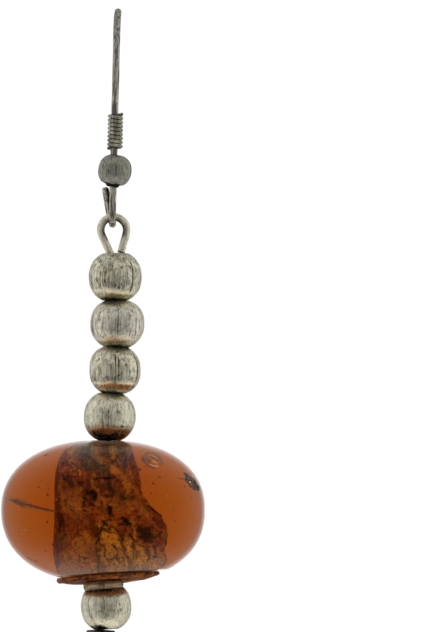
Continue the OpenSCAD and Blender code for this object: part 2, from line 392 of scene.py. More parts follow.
def old_metal(name, light, dark, tints, seed, smooth, warm=None, grain=(0.13, 0.13, 3.2), wear=1.0):
    """Worn silver: fine upright brush marks, tarnish in the marks and round the hole, faint tints, painted
    shade, and rings of warm tint, of painted reflection of the amber and of painted bright reflection.
    """
    metal = Finish(name)
    brushed = metal.noise(grain, detail=3.0, shift=seed)
    coarse = metal.noise((0.34, 0.34, 2.4), shift=seed + 3)
    patches = metal.noise((1.5, 1.5, 1.5), shift=seed + 7)
    speckle = metal.noise((0.16, 0.16, 0.20), shift=seed + 11)
    mottled = metal.noise((0.42, 0.42, 0.5), detail=3.0, distortion=0.5, shift=seed + 17)
    bright_reflection = metal.attribute("bright_reflection")
    base = metal.shaded(patches, 0.38, 0.62, *tints)
    base = metal.mix(metal.remap(brushed, 0.35, 0.65, 0.0, 0.95), base, light)
    if warm is not None:
        # Warm rings: a warm tint, on the lower beads partly the amber's painted reflection; cream rings:
        # painted bright reflection
        base = metal.layered(base, (metal.attribute("warm"), warm), (bright_reflection, CREAM))
    worn = metal.remap(coarse, 0.30, 0.47, 0.35, 0.0)
    for marks, low, high, most in ((speckle, 0.32, 0.40, 0.35), (brushed, 0.32, 0.46, 0.46),
                                   (mottled, 0.36, 0.56, 0.35)):
        worn = metal.maths("ADD", worn, metal.remap(marks, low, high, most, 0.0))
    # Fewer tarnished marks under the painted bright reflection
    worn = metal.times(worn, metal.remap(bright_reflection, 0.0, 1.0, wear, 0.2 * wear))
    # Tarnish in the marks, grime and painted shade darken the colour
    soil_and_shade = metal.maths("MINIMUM", metal.maths("ADD", worn, metal.attribute("grime_and_shade")), 1.0)
    roughness = metal.maths("ADD", metal.remap(brushed, 0.2, 0.8, smooth - 0.06, smooth + 0.08),
                            metal.times(soil_and_shade, 0.2))
    normal = metal.bump(speckle, 0.02, 0.3, metal.bump(brushed, 0.03, 0.6))
    return metal.close(metal.mix(soil_and_shade, base, dark), roughness, {"Metallic": METAL_SHARE, "Normal": normal})


# Ear hook
HOOK_R = 0.33
ARCH_R = 4.2
LOOP_R = 1.15
LOOP_CLOSING = 25.0
LOOP_END_RISE = 3.45
LOOP_END_SHIFT = 0.77
TAIL_DROP = 3.0
TAIL_BEND_R = 10.0
TAIL_FLARE = 14.0
TAIL_END = 4.8
# How far the tail stands to the left, and from where the loop's end starts to lean left
TAIL_SHIFT = 0.19
LEAN_START = 0.4
WIRE_SIDES = 28
FRONT_Y = -ARCH_R
ARCH_Z = HOOK_R - ARCH_R
LOOP_Z = PIVOT[2] + LOOP_R


def hook_path():
    """The middle of the hook's wire, from the tip of the tail over the arch to the loop's cut end."""
    flare = math.radians(TAIL_FLARE)
    bend_middle = (ARCH_R + TAIL_BEND_R, ARCH_Z - TAIL_DROP)
    bend = arc(bend_middle, TAIL_BEND_R, 180 + TAIL_FLARE, 180)
    tip = bend[0] + TAIL_END * np.array([math.sin(flare), -math.cos(flare)])
    arch = arc((0, ARCH_Z), ARCH_R, 0, 180)
    loop = arc((PIVOT[1], LOOP_Z), LOOP_R, 180, 360 + LOOP_CLOSING)
    flat = np.concatenate([[tip], bend, arch, loop])
    path = stacked(0, *flat.T)
    rise = PIVOT[2] + LOOP_END_RISE - path[-1, 2]
    back = math.tan(math.radians(LOOP_CLOSING)) * rise
    path = evenly_spaced(np.concatenate([path, [path[-1] + [0, -back, rise]]]))
    past_bottom = WIRE_STEP * (np.arange(len(path)) - np.argmin(path[:, 2])) - LEAN_START
    path[:, 0] -= LOOP_END_SHIFT * np.maximum(0, past_bottom / past_bottom[-1]) ** 0.75
    path[:, 0] -= TAIL_SHIFT * smooth_step(-1.0, 4.0, path[:, 1])
    return smoothed(path, 6)


def worn_wire(path, radius, sides, first_side, seed, ridge, dent):
    """A wire with lengthwise ridges and shallow dents."""
    points, normals = swept(path, radius, sides, first_side)
    run = np.arange(len(path))[:, None] * np.linalg.norm(path[1] - path[0])
    cos, sin = circle(sides)
    ridges = layered_noise(stacked(cos * 1.9, sin * 1.9, run * 0.35), seed, 3)
    dents = layered_noise(points * 1.4, seed + 5, 2)
    return points + normals * (ridge * ridges + dent * dents)[..., None]


def add_hook():
    path = hook_path()
    run = np.arange(len(path)) * WIRE_STEP
    left = run[-1] - run
    radius = HOOK_R * np.minimum(1, 0.72 + run / 0.35) * np.minimum(1, 0.86 + left / 0.5)
    points = worn_wire(path, radius, WIRE_SIDES, (1, 0, 0), seed=11, ridge=0.012, dent=0.012)
    steel = dark_steel("blackened_steel", tone(200, 197, 185), tone(112, 109, 101), tone(222, 217, 198))
    coil_low, coil_high = box_of("hook_coil")
    # Painted shade where the wire runs inside the coil, and on the returning strand's side next to the main
    # strand
    shade_in_coil = smooth_step(coil_low[2] + 0.1, coil_low[2] + 0.3, path[:, 2]) * (path[:, 1] < FRONT_Y + 0.5)
    shade_in_coil *= smooth_step(coil_high[2] - 0.1, coil_high[2] - 0.3, path[:, 2])
    facing = (points - path[:, None]) / HOOK_R
    shade_by_strand = smooth_step(-0.1, 0.5, facing[..., 0]) * smooth_step(-0.1, -0.5, facing[..., 1])
    shade_by_strand *= smooth_step(LOOP_END_RISE + 1.2, LOOP_END_RISE, left)[:, None]
    grime_and_shade = np.clip(shade_in_coil[:, None] + shade_by_strand, 0, 1)
    make_piece("hook_wire", points, steel, "hook", ["ear_hook"], {"grime_and_shade": grime_and_shade}, tube_faces)


# Coil
COIL_WIRE_R = 0.168
COIL_SHIFT = 0.08
COIL_SIDES = 14
COIL_TURN_STEPS = 40
COIL_TURNS = 8.5
COIL_PITCH = 0.385


def add_coil():
    low, high = box_of("hook_coil")
    middle = (low + high) / 2
    helix_r = (high[1] - low[1]) / 2 - COIL_WIRE_R
    turns = np.arange(int(COIL_TURNS * COIL_TURN_STEPS) + 1) / COIL_TURN_STEPS
    angle = 2 * np.pi * turns
    path = stacked(middle[0] + COIL_SHIFT - helix_r * np.cos(angle), middle[1] + helix_r * np.sin(angle),
                   low[2] + COIL_WIRE_R + COIL_PITCH * turns)
    points = worn_wire(path, COIL_WIRE_R, COIL_SIDES, (0, 0, 1), seed=23, ridge=0.006, dent=0.008)
    metal = dark_steel("coil_metal", tone(222, 216, 196), tone(140, 136, 122), tone(210, 205, 186),
                       dullness=0.25)
    make_piece("coil_wire", points, metal, "hook", ["hook_coil"], faces=tube_faces)


# Beads
def outline_r(z, half_width, half_height, power):
    return half_width * np.maximum(0, 1 - (np.abs(z) / half_height) ** power) ** (1 / power)


def bead_profile(half_width, rises, trims, hole_r, power, steps, lip):
    """Closed outline of a drilled bead from the top of its hole outwards, down and back up the hole."""
    up, down = rises
    turn = np.radians(np.linspace(90, -90, 2 * steps + 1))
    z = np.where(turn > 0, up, down) * np.sin(turn)
    half_height = np.where(z > 0, up * trims[0], down * trims[1])
    outer = stacked(outline_r(z, half_width, half_height, power), z).tolist()

    def mouth(end_r, height):
        inwards = math.copysign(lip, height)
        edge = [[hole_r + out * lip, height - deep * inwards] for out, deep in ((0, 1), (0.3, 0.3), (1, 0))]
        return edge + [[r, height] for r in np.linspace(hole_r + lip, end_r, 4)[1:-1]]

    bore = [[hole_r, z] for z in np.linspace(-down + lip, up - lip, 8)[1:-1]]
    return np.array(mouth(outer[0][0], up) + outer + mouth(outer[-1][0], -down)[::-1] + bore)


def upright_marks(points, radius, rows):
    """Depth of upright grooves, one row each: angle, width, depth, top, foot."""
    angles = front_angle(points)
    depth = np.zeros(angles.shape)
    for angle, width, deep, top, foot in rows:
        across = np.radians(angle_between(angles, angle)) * radius
        window = smooth_step(foot - 0.15, foot + 0.15, points[..., 2])
        window *= 1 - smooth_step(top - 0.15, top + 0.15, points[..., 2])
        depth = np.maximum(depth, deep * window * np.exp(-(across / width) ** 2))
    return depth


def random_marks(points, radius, half_height, count, seed, deepest):
    """Depth of many short upright scratches all round."""
    draw = np.random.default_rng(seed)
    rows = []
    for _ in range(count):
        middle = draw.uniform(-0.7, 0.7) * half_height
        reach = draw.uniform(0.15, 0.8)
        rows.append([draw.uniform(-180, 180), draw.uniform(0.025, 0.06), draw.uniform(0.3, 1) * deepest,
                     middle + reach, middle - reach])
    return upright_marks(points, radius, rows)


def pits(points, rows):
    """Depth of round pits, one row each: angle, height, size, depth."""
    angles = front_angle(points)
    radius = from_axis(points)
    depth = np.zeros(angles.shape)
    for angle, height, size, deep in rows:
        across = np.radians(angle_between(angles, angle)) * radius
        away = (across ** 2 + (points[..., 2] - height) ** 2) / size ** 2
        depth = np.maximum(depth, deep * np.exp(-away))
    return depth


def random_pits(count, half_height, seed, sizes, deepest):
    draw = np.random.default_rng(seed)
    return [[draw.uniform(-180, 180), draw.uniform(-0.8, 0.8) * half_height, draw.uniform(*sizes),
             draw.uniform(0.4, 1) * deepest] for _ in range(count)]


BEAD_COLUMNS = 288
BEAD_STEPS = 60
BEAD_POWER = 2.25
BEAD_HOLE_R = 0.93
BEAD_TRIM = 1.08
BEAD_LIP = 0.09
# How far each bead is pressed on to its neighbours
BEAD_PRESS = 0.035
# How much nearer to the bead's end its rings lie at the sides, and what is added to the bead's seed for its
# rings of painted shade, of warm tint and painted reflection, and of painted bright reflection
BAND_DROP = 0.1
RING_SEEDS = (51, 57, 61)


def bands(points, half_height, seed, rows):
    """Strength of broken rings round a bead, one row each: height from -1 to 1, half height, strength.
    The rings are painted shade, warm tint and painted reflection, and grow weaker towards the sides.
    """
    wavering = points[..., 2] / half_height + 0.06 * layered_noise(points * 0.9, seed, 3)
    sideways = 1 - np.abs(np.cos(np.radians(front_angle(points))))
    patchy = np.clip(1 - 0.35 * sideways + 0.5 * noise(points * 0.8, seed + 3), 0.2, 1)
    total = np.zeros(wavering.shape)
    for height, half, strength in rows:
        away = np.abs(wavering - height - BAND_DROP * math.copysign(1, height) * sideways)
        total = np.maximum(total, strength * patchy * smooth_step(1.7, 0.3, away / half))
    return total


def worn_bead(profile, half_height, seed, grooves, pit_rows, scratches, rings):
    """A bead's points about its own middle, and for each one how tarnished and painted-shaded it is, how
    warm in colour, and how bright with painted reflection.
    """
    points, normals = turned(profile, BEAD_COLUMNS)
    radius = profile[:, 0].max()
    outside = smooth_step(BEAD_HOLE_R + 0.02, BEAD_HOLE_R + 0.14, from_axis(points))
    lumps = layered_noise(points * 0.45, seed, 3) * 0.035
    pock = layered_noise(points * 5.0, seed + 31, 2) * 0.006
    groove = upright_marks(points, radius, grooves)
    scratch = random_marks(points, radius, half_height, scratches, seed + 41, deepest=0.018)
    pit = pits(points, pit_rows)
    height = (lumps + pock - groove - scratch - pit) * outside
    soil = groove / 0.055 + scratch / 0.05 + pit / 0.06
    # Dark rings are painted shade and dark painted reflection, warm rings a tint with painted reflection of
    # the amber, bright rings painted reflection
    dark, warm, bright_reflection = [bands(points, half_height, seed + step, rows)
                          for step, rows in zip(RING_SEEDS, rings)]
    grime_and_shade = np.clip(0.9 * soil + dark + 1 - outside, 0, 1)
    return points + normals * height[..., None], {"grime_and_shade": grime_and_shade, "warm": warm, "bright_reflection": bright_reflection}


def add_silver_bead(name, node, half_width, rises, place, metal, grooves, pit_rows, rings, seed, scratches,
                    turn=np.eye(3)):
    """One drilled and worn bead. Its rises are its reach above and below its middle."""
    trims = (rises[1] * BEAD_TRIM / rises[0], BEAD_TRIM)
    profile = bead_profile(half_width, rises, trims, BEAD_HOLE_R, BEAD_POWER, BEAD_STEPS, BEAD_LIP)
    points, marks = worn_bead(profile, rises[1], seed, grooves, pit_rows, scratches, rings)
    make_piece(name, points @ turn.T + place, metal, "drop", [node], marks)


# Grooves of each upper bead: angle from the front, width, depth, top, foot
UPPER_GROOVES = [
    [(43, 0.055, 0.07, 1.5, -1.5), (-26, 0.03, 0.03, 1.0, -1.0), (-20, 0.03, 0.03, 1.2, -0.6),
     (-33, 0.03, 0.03, 0.6, -1.2), (-12, 0.03, 0.02, 0.2, -1.3)],
    [(3, 0.04, 0.05, 1.5, -1.2), (-2, 0.035, 0.04, 0.4, -1.3), (-67, 0.06, 0.05, 1.2, -1.2),
     (-14, 0.03, 0.03, 0.1, -1.0)],
    [(2, 0.045, 0.06, 1.4, -1.2), (9, 0.045, 0.05, 1.5, -1.1), (62, 0.07, 0.08, 1.7, -1.8)],
    [(-2, 0.05, 0.04, 0.8, -1.2), (-14, 0.04, 0.04, 0.6, -1.4), (18, 0.04, 0.03, 0.9, 0.0)],
]
# Pits of each upper bead: angle from the front, height, size, depth
UPPER_PITS = [
    [(-22, -0.5, 0.08, 0.05), (14, 0.9, 0.09, 0.05)],
    [(32, 0.8, 0.10, 0.05), (-38, 0.3, 0.12, 0.04), (20, -0.2, 0.08, 0.04)],
    [(26, 0.55, 0.12, 0.06), (21, 1.0, 0.09, 0.05), (-40, 1.0, 0.10, 0.04)],
    [(22, 0.5, 0.12, 0.05), (30, -0.9, 0.10, 0.05)],
]
# Two tints of each upper bead
UPPER_TINTS = [(tone(226, 216, 176), tone(210, 208, 178)), (tone(238, 229, 208), tone(226, 222, 204)),
               (tone(232, 221, 184), tone(220, 214, 186)), (tone(242, 234, 206), tone(232, 230, 198))]
# Dark, warm and bright rings of each upper bead: height from -1 to 1, half height, strength. Dark rings are
# painted shade and dark painted reflection, warm rings a warm tint that on the lowest bead is painted
# reflection of the amber, and bright rings painted bright reflection
UPPER_DARK = [[(-1.0, 0.12, 0.9), (-0.28, 0.15, 0.15)], [(-1.0, 0.10, 0.9)],
              [(-1.0, 0.12, 0.85), (-0.36, 0.12, 0.25)],
              [(-0.96, 0.34, 1.0), (-0.45, 0.14, 0.25), (1.0, 0.05, 0.4)]]
UPPER_WARM = [[(-0.80, 0.15, 0.85)], [(-0.82, 0.13, 0.8)], [(-0.70, 0.16, 0.9)], [(-0.54, 0.14, 0.7)]]
UPPER_BRIGHT_REFLECTIONS = [[(-0.60, 0.07, 0.9)], [(-0.64, 0.06, 0.7)], [(-0.52, 0.06, 0.9)],
                [(-0.47, 0.05, 0.6), (0.80, 0.04, 0.5)]]
# How soiled the brush marks of each upper bead are, and the colour of its warm rings
UPPER_WEAR = [1.05, 0.85, 0.95, 0.85]
UPPER_WARM_TONES = [tone(172, 164, 112), tone(168, 156, 118), tone(172, 134, 84), tone(112, 82, 50)]
SILVER_LIGHT = tone(255, 250, 228)
TARNISH = tone(46, 40, 28)
SILVER_SMOOTH = 0.27


def add_upper_beads():
    for i, rings in enumerate(zip(UPPER_DARK, UPPER_WARM, UPPER_BRIGHT_REFLECTIONS)):
        node = f"silver_bead_{i + 1}"
        size = size_of(node)
        rise = size[2] / 2 + BEAD_PRESS
        pit_rows = UPPER_PITS[i] + random_pits(40, rise, seed=50 + i, sizes=(0.03, 0.08), deepest=0.03)
        metal = old_metal(f"old_silver_{i + 1}", SILVER_LIGHT, TARNISH, UPPER_TINTS[i],
                          seed=13.0 * i, smooth=SILVER_SMOOTH, warm=UPPER_WARM_TONES[i], wear=UPPER_WEAR[i])
        add_silver_bead(f"bead_{i + 1}", node, size[0] / 2, (rise, rise), middle_of(node), metal,
                        UPPER_GROOVES[i], pit_rows, rings, seed=100 + 7 * i, scratches=90)


# Ball on the hook
BALL_COLUMNS = 192
BALL_STEPS = 40
BALL_HOLE_R = 0.55
BALL_POWER = 2.3
# The ball sits askew on the wire, and its lower hole is ragged, with painted shadow that makes it black
BALL_TILT = 8.0


def add_ball():
    node = "hook_ball"
    radius, _, rise = size_of(node) / 2
    trim = (1 - (BALL_HOLE_R / radius) ** BALL_POWER) ** (-1 / BALL_POWER)
    profile = bead_profile(radius, (rise, rise), (trim, trim), BALL_HOLE_R, BALL_POWER, BALL_STEPS,
                           lip=0.0001)
    points, normals = turned(profile, BALL_COLUMNS)
    away = from_axis(points)
    outside = smooth_step(BALL_HOLE_R + 0.02, BALL_HOLE_R + 0.2, away)
    height = layered_noise(points * 0.9, 71, 3) * 0.02 + layered_noise(points * [5, 5, 1.2], 77, 2) * 0.008
    scratch = random_marks(points, radius, rise, count=30, seed=79, deepest=0.008)
    # Painted shadow: the ragged rim of the lower hole is dark and pressed in
    shadowed_ragged_hole = smooth_step(1.05, 0.9, away + 0.12 * layered_noise(points * 2.0, 83, 3)) * (points[..., 2] < 0)
    grime_and_shade = np.clip(scratch / 0.02 + (1 - outside) + shadowed_ragged_hole, 0, 1)
    points = points + normals * ((height - scratch) * outside - 0.08 * shadowed_ragged_hole)[..., None]
    metal = old_metal("ball_metal", tone(184, 181, 170), tone(44, 42, 36),
                      (tone(150, 146, 136), tone(158, 161, 140)), seed=61.0, smooth=0.42, wear=0.75)
    points = points @ np.array(rotation(BALL_TILT, "Y")).T + middle_of(node)
    make_piece("ball", points, metal, "hook", [node], {"grime_and_shade": grime_and_shade})


# Eye pin
PIN_R = 0.365
EYE_R = 1.25
LINK_GAP = 0.03
EYE_SHIFT = 0.13
# The eye's legs slope towards the pin. The right one is cut off, and the left one runs on into the pin
LEFT_LEG_SLOPE = 26.6
RIGHT_LEG_SLOPE = 14.0
RIGHT_LEG_LENGTH = 1.96
PIN_TOP_X = 0.24
PIN_FOOT_X = -0.2
HEAD_R = 1.375
HEAD_T = 0.18
HEAD_EDGE = 0.05
HEAD_COLUMNS = 72
EYE = np.array([EYE_SHIFT, PIVOT[2] + HOOK_R + LINK_GAP + PIN_R - EYE_R])


def add_eye_pin():
    head_top = box_of("eye_pin")[0][2] + HEAD_T
    bow = arc(EYE, EYE_R, -RIGHT_LEG_SLOPE, 180 + LEFT_LEG_SLOPE)
    right = math.radians(RIGHT_LEG_SLOPE)
    left = math.radians(LEFT_LEG_SLOPE)
    cut_end = bow[0] + RIGHT_LEG_LENGTH * np.array([-math.sin(right), -math.cos(right)])
    left_run = (PIN_TOP_X - bow[-1, 0]) / math.sin(left)
    pin_top = bow[-1] + left_run * np.array([math.sin(left), -math.cos(left)])
    flat = np.concatenate([[cut_end], bow, [pin_top], [[PIN_FOOT_X, head_top]]])
    path = smoothed(evenly_spaced(stacked(flat[:, 0], PIVOT[1], flat[:, 1])), 4)
    run = np.arange(len(path)) * WIRE_STEP
    radius = PIN_R * np.minimum(1, 0.88 + run / 0.6)
    points = worn_wire(path, radius, WIRE_SIDES, (0, 1, 0), seed=37, ridge=0.009, dent=0.011)
    off_eye = points - [EYE[0], PIVOT[1], EYE[1]]
    inner = smooth_step(0.15, -0.75, (np.hypot(off_eye[..., 0], off_eye[..., 2]) - EYE_R) / PIN_R)
    cut = smooth_step(0.25, 0.0, run)[:, None]
    in_eye = smooth_step(EYE[1] - 3.6, EYE[1] - 3.0, points[..., 2])
    # Darker on the eye's inner side, at the cut end, and below the eye
    grime_and_shade = np.clip(0.8 * inner * in_eye + cut + (1 - in_eye) * 0.6, 0, 1)
    metal = old_metal("pin_metal", tone(255, 250, 228), tone(64, 56, 42),
                      (tone(244, 235, 208), tone(248, 238, 214)), seed=83.0, smooth=0.34, wear=0.6)
    make_piece("eye_wire", points, metal, "drop", ["eye_pin"], {"grime_and_shade": grime_and_shade}, tube_faces)


def add_pin_head():
    bevel = 0.3 * HEAD_EDGE
    upper = [[0.02, 0], [HEAD_R - HEAD_EDGE, 0], [HEAD_R - bevel, bevel], [HEAD_R, HEAD_T / 2]]
    lower = [[radius, HEAD_T - down] for radius, down in upper[-2::-1]]
    points, normals = turned(np.array(upper + lower) * [1, -1], HEAD_COLUMNS)
    points = points + normals * (layered_noise(points * 2.0, 91, 2) * 0.012)[..., None]
    metal = old_metal("head_metal", tone(150, 142, 118), tone(34, 30, 22),
                      (tone(120, 112, 88), tone(110, 106, 84)), seed=89.0, smooth=0.4)
    place = [PIN_FOOT_X, PIVOT[1], box_of("eye_pin")[0][2] + HEAD_T]
    make_piece("pin_head", points + place, metal, "drop", (),
               {"grime_and_shade": np.full(points.shape[:2], 0.35)})


# Amber bead
AMBER_MIDDLE = np.array([-0.24, PIVOT[1], -47.644])
AMBER_R = 9.8
# Reach of the whole outline above and below its middle, and of the flat that is ground on its foot
AMBER_RISE = 6.7
AMBER_FALL = 7.0
AMBER_FLAT = 6.23
AMBER_POWER = 2.25
AMBER_TOP_R = 1.8
AMBER_HOLE_R = 1.2
AMBER_LEAN = 1.4
DISC_SIDE_TILT = 5.4
DISC_FRONT_TILT = 4.5
AMBER_COLUMNS = 320
AMBER_STEPS = 80
AMBER_INDEX = 1.52
# How often a line of sight is halved to find the surface, and a guess of a pixel is put right
SIGHT_HALVINGS = 24
SIGHT_ROUNDS = 40
AMBER_TURN = np.array(rotation(-AMBER_LEAN, "Y"))
FLAT_TURN = np.array(rotation(-DISC_SIDE_TILT, "Y") @ rotation(-DISC_FRONT_TILT, "X"))


def to_frame(points):
    """Points of the amber bead's own frame, in the frame of the part."""
    return points @ AMBER_TURN.T + AMBER_MIDDLE


def amber_level(places):
    """Below 0 inside the amber bead's outline, and above 0 outside it."""
    half_height = np.where(places[..., 2] > 0, AMBER_RISE, AMBER_FALL)
    high = np.abs(places[..., 2]) / half_height
    return (from_axis(places) / AMBER_R) ** AMBER_POWER + high ** AMBER_POWER - 1


def amber_normal(places):
    step = 1e-4
    slopes = [amber_level(places + step * way) - amber_level(places - step * way) for way in np.eye(3)]
    slope = np.stack(slopes, axis=-1)
    return slope / np.linalg.norm(slope, axis=-1, keepdims=True)


def ray_into_amber(px, py):
    """Where the lines of sight at pixels enter the amber bead, and how they run inside, in its frame."""
    sight = place_at_pixel(px, py) - CAMERA_PLACE
    way = sight / np.linalg.norm(sight, axis=-1, keepdims=True) @ AMBER_TURN
    start = (CAMERA_PLACE - AMBER_MIDDLE) @ AMBER_TURN
    near = np.full(way.shape[:-1] + (1,), CAMERA_AWAY - 1.2 * AMBER_R)
    far = np.full_like(near, CAMERA_AWAY)
    for _ in range(SIGHT_HALVINGS):
        halfway = (near + far) / 2
        outside = amber_level(start + way * halfway)[..., None] > 0
        near = np.where(outside, halfway, near)
        far = np.where(outside, far, halfway)
    place = start + way * far
    normal = amber_normal(place)
    facing = -np.sum(way * normal, axis=-1, keepdims=True)
    straight = np.sqrt(1 - (1 - facing ** 2) / AMBER_INDEX ** 2)
    bent = way / AMBER_INDEX + (facing / AMBER_INDEX - straight) * normal
    return place, bent / np.linalg.norm(bent, axis=-1, keepdims=True)


def inside_amber(px, py, depth):
    place, way = ray_into_amber(np.asarray(px, float), np.asarray(py, float))
    return place + way * np.asarray(depth, float)[..., None]


# Pixel of the amber bead's middle, and half its size in pixels with a little off for the rim
AMBER_PIXEL = np.array([103.2, 507.0])
AMBER_PIXELS = np.array([100.0, 64.0])


def within_rim(px, py, share):
    """Pixels on the amber bead, where those outside a share of its outline are pulled in to it."""
    across = px - AMBER_PIXEL[0]
    down = py - AMBER_PIXEL[1]
    pull = share / np.maximum(np.hypot(across / AMBER_PIXELS[0], down / AMBER_PIXELS[1]), share)
    return AMBER_PIXEL[0] + across * pull, AMBER_PIXEL[1] + down * pull


def seen_pixels(places):
    """The pixels at which places inside the amber bead are seen through its surface."""
    px = AMBER_PIXEL[0] + places[..., 0] / PIXEL
    py = AMBER_PIXEL[1] - places[..., 2] / PIXEL
    for _ in range(SIGHT_ROUNDS):
        start, way = ray_into_amber(px, py)
        reached = start + way * ((places[..., 1] - start[..., 1]) / way[..., 1])[..., None]
        px, py = within_rim(px + (places[..., 0] - reached[..., 0]) / PIXEL,
                            py - (places[..., 2] - reached[..., 2]) / PIXEL, 1.0)
    return px, py


# Dark core of the amber bead: height, reach on the left, reach on the right
CORE_ROWS = np.array([
    [6.2, 1.6, 1.6], [5.0, 2.2, 1.9], [3.2, 2.5, 2.1], [2.4, 3.0, 1.8], [1.2, 3.2, 1.85], [0.55, 3.1, 2.1],
    [0.32, 3.1, 2.7], [0.05, 3.1, 3.15], [-0.6, 3.1, 3.6], [-1.5, 3.15, 3.9], [-2.6, 3.3, 4.25],
    [-3.6, 3.3, 4.3], [-5.3, 3.0, 3.3],
])
# Reach of the core's back: height, reach
CORE_BACK = np.array([[6.2, 1.6], [3.2, 2.45], [1.2, 2.85], [-1.5, 3.4], [-3.6, 3.7], [-5.3, 3.15]])
CORE_HOLE_R = 1.26
CORE_COLUMNS = 336
CORE_LEVELS = 250
CORE_HOLE_ROWS = 12
# Levels, and steps between the core's points, at which the pixel that is seen is worked out
SEEN_LEVELS = 60
SEEN_ROWS = 5
SEEN_COLUMNS = 6


def core_radius(angles, z):
    """Reach of the core at an angle from the front and a height."""
    left, right = [np.interp(z, CORE_ROWS[::-1, 0], reach) for reach in CORE_ROWS[::-1, 1:].T]
    across, back = from_front(angles)
    radius = left + (right - left) * (0.5 + 0.5 * across)
    uneven = layered_noise(stacked(across * 1.4, back * -1.4, z * 0.35), 251, 2)
    behind = np.interp(z, CORE_BACK[::-1, 0], CORE_BACK[::-1, 1]) * (1 + 0.1 * uneven)
    return radius + (behind - radius) * smooth_step(95, 145, np.abs(angles))


def core_places(angles, z):
    across, back = from_front(angles)
    radius = core_radius(angles, z)
    return stacked(across * radius, back * radius, z)


KIND_NAMES = ["brown", "pale", "grey", "gold", "red", "black"]
